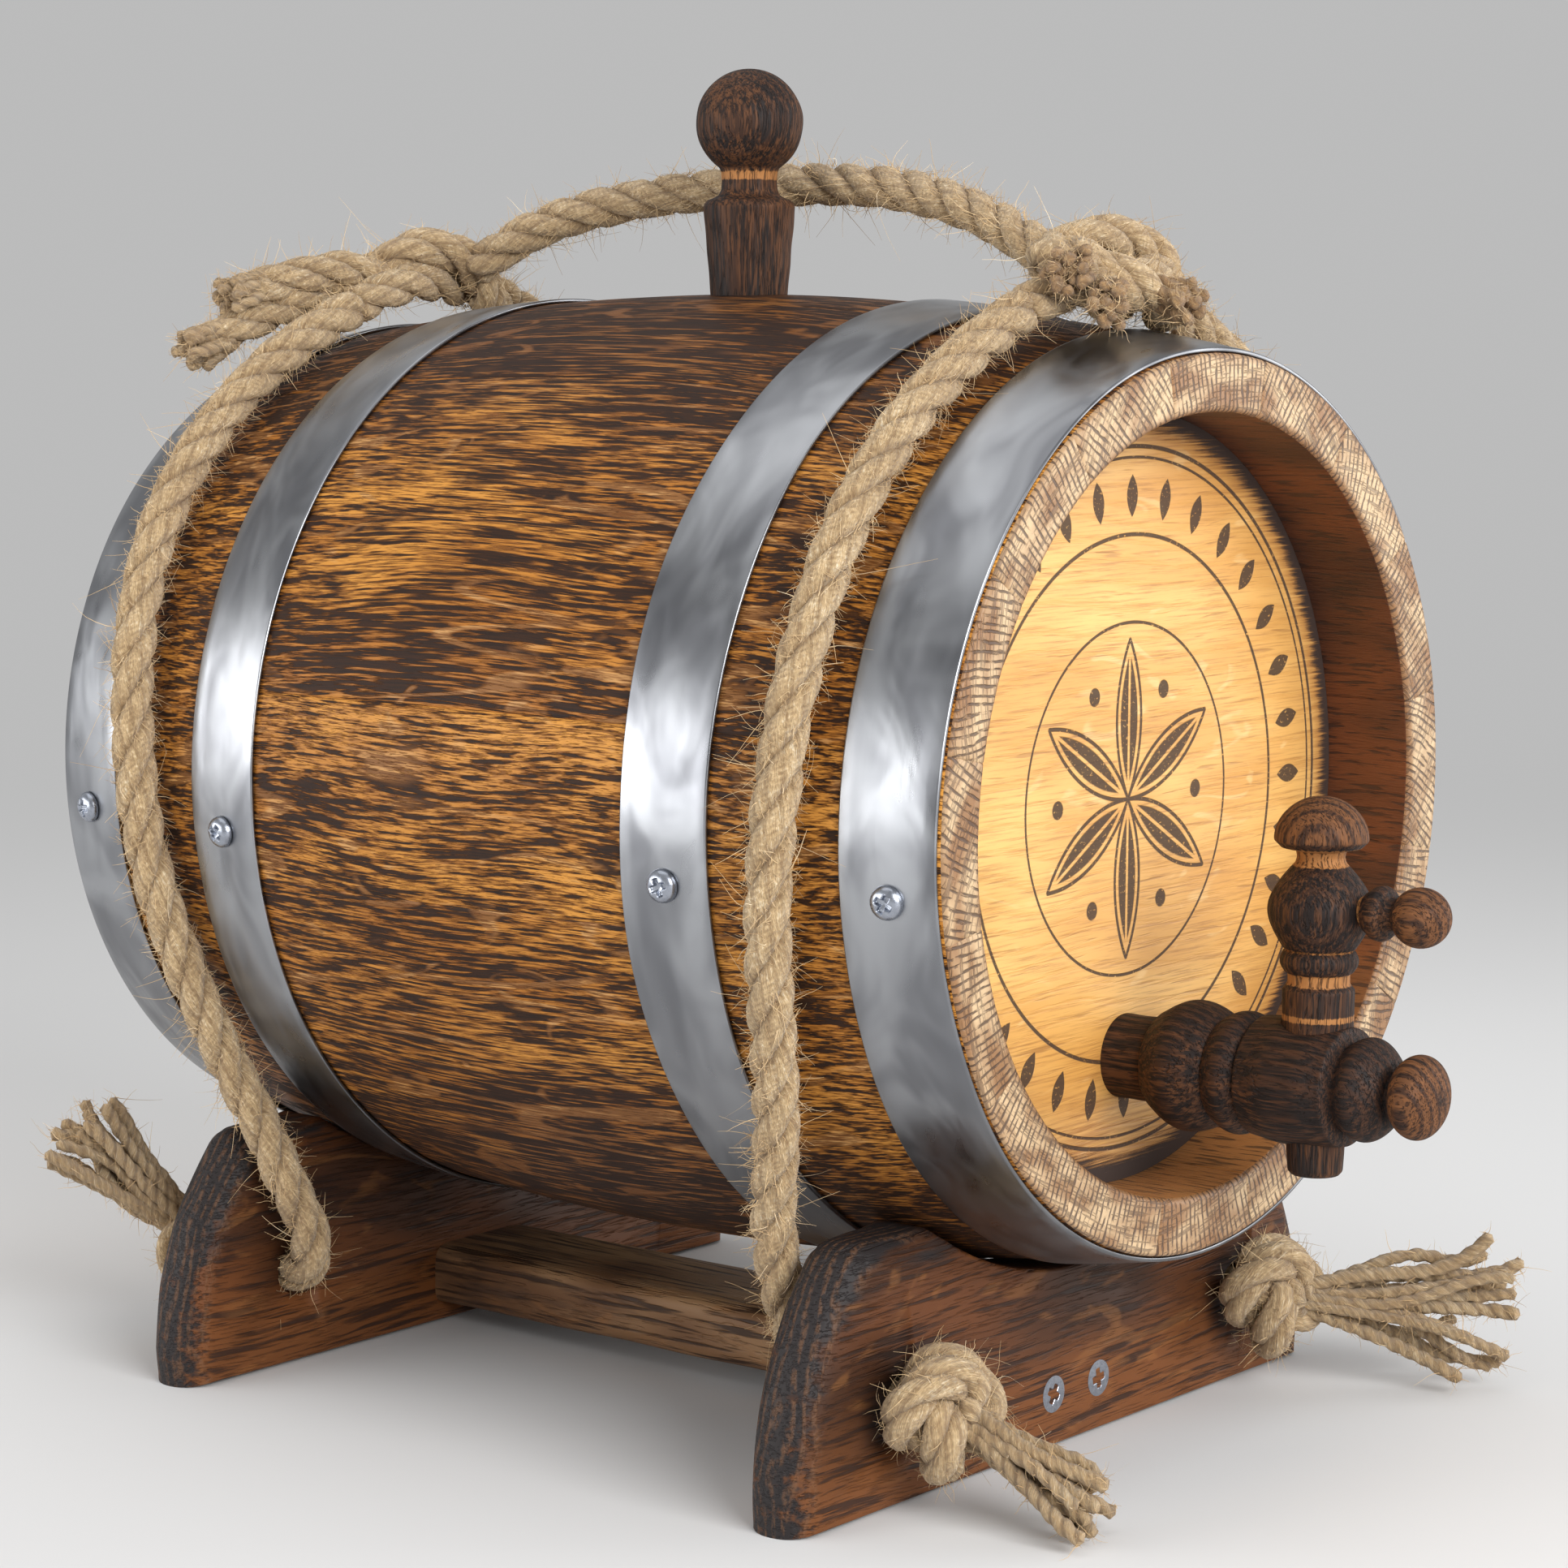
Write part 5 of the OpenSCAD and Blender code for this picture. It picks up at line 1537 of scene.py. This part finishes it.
@dataclass
class Lashing:
    """The jute rope: four lashings, the carrying rope, the knots, their tassels and cut ends.

    A lashing's route is the x and z of its side of the cask and the y of its end of it.
    """

    width: float = 10.0
    side_x: dict[str, list[float]] = field(default_factory=lambda: {
        "left": [
            -67, -67, -68.5, -71.5, -77, -83, -91, -98.5, -104.5, -105.5, -102.5, -94.5, -83, -67.5, -49, -27],
        "right": [59, 59, 60.5, 65, 72.5, 81, 91, 98.5, 104.5, 105.5, 102.5, 94.5, 83, 67.5, 49, 27]})
    side_z: dict[str, list[float]] = field(default_factory=lambda: {
        "left": [-118, -118, -114, -105.5, -94, -79, -60, -40, -18.5, 4, 25.5, 46.5, 65, 80.5, 93, 103.5],
        "right": [-118, -118, -114, -105.5, -93, -77, -58, -39, -18.5, 4, 25.5, 46.5, 65, 80.5, 93, 103.5]})
    end_y: dict[End, list[float]] = field(default_factory=lambda: {
        End.FRONT: [-95.5, -79.5, -73, -71, -72, -75, -82, -87, -90.5, -92.5, -94, -94.5, -95, -95, -95, -95],
        End.REAR: [95.5, 79.5, 73, 71, 72, 75, 79.5, 83, 86, 89, 92, 95.5, 96.5, 97, 97, 97]})
    carry: Array = field(default_factory=lambda: rows(
        [3, 6.5, 10, 13.5, 16.5, 18.5, 19, 18, 16, 13, 10, 6.5, 3],
        [88, 75, 62, 48, 32, 16, 0, -16, -32, -47, -60, -72, -86],
        [111.5, 119.5, 124.5, 127.5, 129.5, 130.5, 131, 130.5, 129, 126, 122, 117, 110.5]))
    hole_z: float = -118.0
    face_y: float = 95.5

    def build(self) -> None:
        """Builds the knots, tassels and ends, then the ropes that carry them."""
        routes = {f"rope_{end.value}_{side}": rows(self.side_x[side], self.end_y[end], self.side_z[side])
                  for end in End for side in self.side_x}
        routes["carry_rope"] = self.carry
        extras: dict[str, list[bpy.types.Object]] = {name: [] for name in routes}
        for end in End:
            extras[f"rope_{end.value}_left"] += [self.top_knot(end), self.cut_ends(end)]
        for end in End:
            for side in self.side_x:
                extras[f"rope_{end.value}_{side}"] += [self.board_knot(end, side), self.tassel(end, side)]
        for k, (name, points) in enumerate(routes.items()):
            path = smooth_path(points, 1.1)
            fuzz = hairs(path, int(13.0 * path_length(path)), self.width, 100 + k, 2.7)
            place(make_piece(f"jute_fuzz_{name}", fuzz, [JUTE], 70), Body.CASK, "jute")
            rope = make_piece(f"jute_{name}", laid_rope(path, self.width, 0.7 * k), [JUTE], 70)
            piece = place(rope, Body.CASK, "jute", name)

    def hang(
        self, name: str, shells: list[Shell], stray: list[Shell], finishes: list[Finish], node: str
    ) -> bpy.types.Object:
        """Places a piece of rope and its stray fibres.

        Args:
            name: The piece's name.
            shells: Its strands or yarns.
            stray: Its stray fibres, which are a piece of their own.
            finishes: Its finishes. The fibres have the first.
            node: The CAD node that it stands in for.

        Returns:
            The piece, without its fibres.
        """
        place(make_piece(f"{name}_fuzz", joined(stray), finishes[:1], 70), Body.CASK, "jute")
        return place(make_piece(name, joined(shells), finishes, 70), Body.CASK, "jute", node)

    def knot(self, where: str, paths: list[Array], seed: int) -> bpy.types.Object:
        """A knot of laid rope over several paths."""
        shells = [laid_rope(path, self.width * 0.98, seed + 1.3 * k) for k, path in enumerate(paths)]
        stray = [hairs(path, int(8 * path_length(path)), self.width, seed * 7 + k, 2.8)
                 for k, path in enumerate(paths)]
        return self.hang(f"jute_knot_{where}", shells, stray, [JUTE], f"knot_{where}")

    def top_knot(self, end: End) -> bpy.types.Object:
        """An overhand knot on top of the cask, with the carrying rope drawn through it."""
        if end is End.FRONT:
            runs = [
                [[-29, -95, 102.8], [-20, -97.5, 106], [-11, -101, 108], [-2, -102, 108.5], [6, -101, 109],
                 [14, -99, 110], [21, -96, 109], [27, -94.5, 104.5]],
                [[3, -80, 112.5], [-5, -86, 114.5], [-9, -95, 113.5], [-6, -103, 110], [2, -107, 106],
                 [11, -105, 103.5], [17, -98, 102.8]],
                [[-14, -88, 111], [-6, -90, 115.5], [4, -92, 118], [13, -93.5, 117.5], [21, -96, 112.5],
                 [22, -98, 104.5]],
                [[-6, -98, 106], [4, -95, 104.8], [14, -90, 104.8], [20, -86, 106.5]],
            ]
        else:
            runs = [
                [[-29, 97, 102.8], [-19, 95.5, 106.5], [-9, 95, 109], [1, 96, 108.5], [10, 97, 107.5],
                 [19, 97.5, 106.5], [27, 97, 103.8]],
                [[-12, 105, 107], [-12, 100, 114], [-6, 94, 117], [3, 89.5, 114], [8, 88, 107], [10, 91, 102.8]],
                [[-22, 102.5, 110], [-13, 101.5, 112], [-3, 100, 113.5], [6, 96, 115], [8, 91, 113.5],
                 [3, 85, 112]],
            ]
        paths = [smooth_path(run, 0.9) for run in runs]
        return self.knot(f"{end.value}_top", paths, 11 if end is End.FRONT else 12)

    def frayed(
        self, root: Array, tip: Array, narrow: float, wide: tuple[float, float], count: int, seed: int,
        radius: float,
    ) -> tuple[list[Shell], list[Shell]]:
        """A frayed end: yarns that leave the root together and fan out towards the tip.

        Yarn k runs from root + narrow p to tip + wide p, where p is its place on a sunflower's spiral,
        easing over as t^1.3, with a sway of its own that grows along it.

        Args:
            root: Where the yarns start, in millimetres.
            tip: The middle of where they end.
            narrow: Radius of the bundle at its root.
            wide: Its two half widths at the tip, level and upright.
            count: How many yarns.
            seed: Picks their sway.
            radius: Radius of one yarn.

        Returns:
            The yarns, and their stray fibres.
        """
        rng = np.random.default_rng(seed)
        way = unit(tip - root)
        level = unit(np.cross(way, [0.0, 0.0, 1.0]))
        upright = np.cross(level, way)
        length = float(np.linalg.norm(tip - root))
        t = np.linspace(0, 1, 10)[:, None]
        yarns, stray = [], []
        for k in range(count):
            a, spread = k * GOLDEN_TURN, math.sqrt((k + 0.5) / count)
            spot = spread * (math.cos(a) * level + math.sin(a) * upright)
            base = narrow * spot
            fan = spread * (math.cos(a) * wide[0] * level + math.sin(a) * wide[1] * upright)
            fan = fan + rng.normal(0, 0.7, 3)
            reach = length * rng.uniform(0.86, 1.07)
            sway = np.sin(t * rng.uniform(3.5, 7) + rng.uniform(0, 6)) * rng.normal(0, 0.055 * length, 3) * t
            line = root + base + t * way * reach + t**1.3 * (fan - base) + sway
            line[:, 2] = np.maximum(line[:, 2], GROUND + radius + 0.1)
            path = smooth_path(line, 0.8)
            yarns.append(self.yarn(path, radius * rng.uniform(0.85, 1.12), rng.uniform(0, 6)))
            stray.append(hairs(path, int(1.6 * length), 2 * radius, int(rng.integers(1e6)), 1.8))
            stray.append(hairs(path[-5:], 12, 2 * radius, int(rng.integers(1e6)), 1.8, 0.4))
        return yarns, stray

    def cut_ends(self, end: End) -> bpy.types.Object:
        """The cut rope ends beside a top knot: laid rope that opens into a short browned fray."""
        if end is End.FRONT:
            finish = CUT_JUTE
            runs = [[[-8, -97, 110], [-15, -100.5, 111], [-22, -103.5, 111]],
                    [[-6, -99, 107], [-12, -104.5, 106], [-18, -109.5, 105]],
                    [[3, -99, 107.5], [3.5, -105, 106.5], [3, -110, 105.5]]]
        else:
            finish = FRAYED
            runs = [[[-16, 100, 110.5], [-26, 103.5, 111.5], [-38, 107, 109.5], [-49, 110, 106.5]],
                    [[-16, 103, 109], [-30, 107, 105.5], [-45, 110, 100.5], [-59, 112.5, 95]]]
        fray = 7.0
        shells, stray = [], []
        for k, run in enumerate(runs):
            path = smooth_path(run, 0.9)
            shells.append(laid_rope(path, self.width * 0.92, 0.9 * k, 0.01))
            stray.append(hairs(path, int(8 * path_length(path)), self.width, 300 + k, 2.6))
            way = unit(path[-1] - path[-6])
            yarns, loose = self.frayed(path[-7], path[-1] + way * fray, 3.2, (4.4, 4.4), 16, 340 + k, 1.35)
            stray += loose
            tuft = joined(yarns)
            tuft.finish[:] = 1
            shells.append(tuft)
        name = f"jute_cut_ends_{end.value}"
        return self.hang(name, shells, stray, [JUTE, finish], f"rope_ends_{end.value}")

    def board_knot(self, end: End, side: str) -> bpy.types.Object:
        """A stopper knot hard against a board: an overhand knot, wound as a two-and-three torus curve.

        At t the rope is at the angle 2t and the radius 7.0 + 3.4 cos 3t, and 4.6 sin 3t out from the board.
        """
        where, out = f"{end.value}_{side}", end.sign()
        spin = {"front_left": 0.5, "front_right": 2.5, "rear_left": 1.4, "rear_right": 3.6}[where]
        t = np.linspace(0.32, math.tau - 0.30, 26) + math.pi
        r, a = 7.0 + 3.4 * np.cos(3 * t), 2 * t + spin
        loop = np.stack([r * np.cos(a), 10.8 - 4.6 * np.sin(3 * t), r * np.sin(a)], 1)
        start = [[0, 1.5, 0], [0.4 * loop[0, 0], 3.5, 0.4 * loop[0, 2]]]
        line = np.vstack([start, loop, [0, 16.5, 0], [0, 20, -1]]) * [1, out, 1]
        line = line + [self.side_x[side][0], out * self.face_y, self.hole_z]
        line[:, 2] = np.maximum(line[:, 2], GROUND + 5.2)
        return self.knot(where, [smooth_path(line, 0.9)], 21 + int(9 * spin))

    def tassel(self, end: End, side: str) -> bpy.types.Object:
        """A frayed tail beyond a stopper knot."""
        where = f"{end.value}_{side}"
        root, tip, wide, count = {
            "front_left": ([1, -16, -1], [4, -45, -15], (8.5, 6.5), 16),
            "front_right": ([2, -16, -0.5], [32, -52, -4], (7.5, 20.0), 15),
            "rear_left": ([-3, 17, 6], [-21, 38, 30], (9.0, 13.0), 14),
            "rear_right": ([1, 16, -1], [13, 47, -10], (8.0, 7.0), 15),
        }[where]
        shift = np.array([self.side_x[side][0], end.sign() * self.face_y, self.hole_z])
        seed = hash_name(end.value + side)
        yarns, stray = self.frayed(np.array(root) + shift, np.array(tip) + shift, 3.3, wide, count, seed, 1.45)
        return self.hang(f"jute_tassel_{where}", yarns, stray, [FRAYED], f"tassel_{where}")

    def yarn(self, path: Array, radius: float, phase: float) -> Shell:
        """One yarn: a tube pinched in two lobes that turn along it, cut blunt at its end."""
        _, across, up = carried_frames(path)
        run = run_along(path)
        b = ring_of(12)[None, :]
        twist = (run * 0.85 + phase)[:, None]
        swell = 1 + 0.10 * ripple(int(phase * 1000), run * 0.35, waves=5, reach=4)
        taper = (swell * np.clip(run / 1.5, 0, 1) * np.clip((run[-1] - run) / 0.7, 0, 1) ** 0.5)[:, None]
        r = radius * taper * (1 + 0.11 * np.cos(2 * (b - twist)))
        x, y = (r * np.cos(b))[..., None], (r * np.sin(b))[..., None]
        points = path[:, None] + x * across[:, None] + y * up[:, None]
        # The value below 0 marks painted shade in the pinch between the two lobes.
        return grid(points, wear=-0.45 * smooth(0.3, 1.0, -np.cos(2 * (b - twist))), uv_size=(run[-1] / 10, 1))


def hash_name(name: str) -> int:
    """A small steady number from a name."""
    return sum((k + 1) * ord(c) for k, c in enumerate(name)) % 9973


@dataclass
class Studio:
    """The ground, the lamps and the camera."""

    azimuth: float = -51.29
    elevation: float = 6.79
    roll: float = 0.25
    distance: float = 900.7
    shift_right: float = 8.34
    shift_up: float = -4.80
    focal_px: float = 4867.8
    frame_px: float = 1932.0

    def ground(self) -> None:
        """A wide pale disc under everything."""
        disc = spun(np.array([[r, GROUND] for r in (0.0, 300.0, 900.0, 12000.0)]), 96)
        make_piece("ground", disc, [PlainGround("pale_ground", 0.8)])

    def lamp(
        self, name: str, place_mm: list[float], size: tuple[float, float], power: float, aim: list[float]
    ) -> None:
        """A soft rectangular lamp that faces a point."""
        light = bpy.data.lights.new(name, "AREA")
        light.shape, light.size, light.size_y, light.energy = "RECTANGLE", size[0], size[1], power
        lamp = bpy.data.objects.new(name, light)
        bpy.context.collection.objects.link(lamp)
        here = (np.array(place_mm) + CASK_MIDDLE) / 1000
        back = unit(here - (np.array(aim) + CASK_MIDDLE) / 1000)
        right = unit(np.cross([0.0, 0.0, 1.0], back))
        turn = np.stack([right, np.cross(back, right), back], 1)
        lamp.matrix_world = Matrix.Translation(here) @ Matrix(turn.tolist()).to_4x4()

    def world(self) -> None:
        """Even soft light from all round, which is also the pale backdrop."""
        world = bpy.data.worlds.new("studio")
        bpy.context.scene.world = world
        world.use_nodes = True
        world.node_tree.nodes.clear()
        paint = Painter(world.node_tree)
        sky = paint.node("ShaderNodeBackground", {"Color": (1.0, 1.0, 1.0), "Strength": BACKDROP})
        end = paint.node("ShaderNodeOutputWorld")
        world.node_tree.links.new(sky.outputs[0], end.inputs[0])

    def camera(self) -> None:
        """The camera, placed as the photograph's was."""
        az, el, roll = (math.radians(v) for v in (self.azimuth, self.elevation, self.roll))
        back = np.array([math.sin(az) * math.cos(el), -math.cos(az) * math.cos(el), math.sin(el)])
        right = np.array([math.cos(az), math.sin(az), 0.0])
        up = np.cross(back, right)
        centre = back * self.distance + right * self.shift_right + up * self.shift_up
        turned_right = right * math.cos(roll) + up * math.sin(roll)
        turned_up = up * math.cos(roll) - right * math.sin(roll)
        lens = bpy.data.cameras.new("camera")
        lens.sensor_width = 36.0
        lens.sensor_fit = "HORIZONTAL"
        lens.lens = 36.0 * self.focal_px / self.frame_px
        lens.clip_end = 50.0
        camera = bpy.data.objects.new("camera", lens)
        bpy.context.collection.objects.link(camera)
        turn = np.stack([turned_right, turned_up, back], 1)
        camera.matrix_world = Matrix.Translation((centre + CASK_MIDDLE) / 1000) @ Matrix(turn.tolist()).to_4x4()
        bpy.context.scene.camera = camera

    def build(self) -> None:
        """Sets up everything that isn't the object."""
        self.camera()
        self.ground()
        self.world()
        self.lamp("left", [-1100, 760, 150], (1.3, 0.5), 9, [0, 0, 0])
        self.lamp("front", [-500, -1450, 600], (1.1, 0.8), 27, [0, -60, 0])
        self.lamp("top", [-150, 250, 1600], (1.6, 1.6), 7, [0, 0, 0])
        self.lamp("right", [1200, -950, 250], (0.8, 1.0), 8, [0, 0, 0])
        bpy.context.scene.view_settings.view_transform = "Standard"


def main() -> None:
    """Builds the scene in order: camera and cords first, then the cask, its fittings and its cradle."""
    logging.basicConfig(level=logging.INFO, format="%(message)s")
    Studio().build()
    Lashing().build()
    cask = Cask()
    cask.build()
    Hoops(cask).build()
    Bung().build()
    Tap().build()
    Cradle().build(cask)


if __name__ == "__main__":
    main()
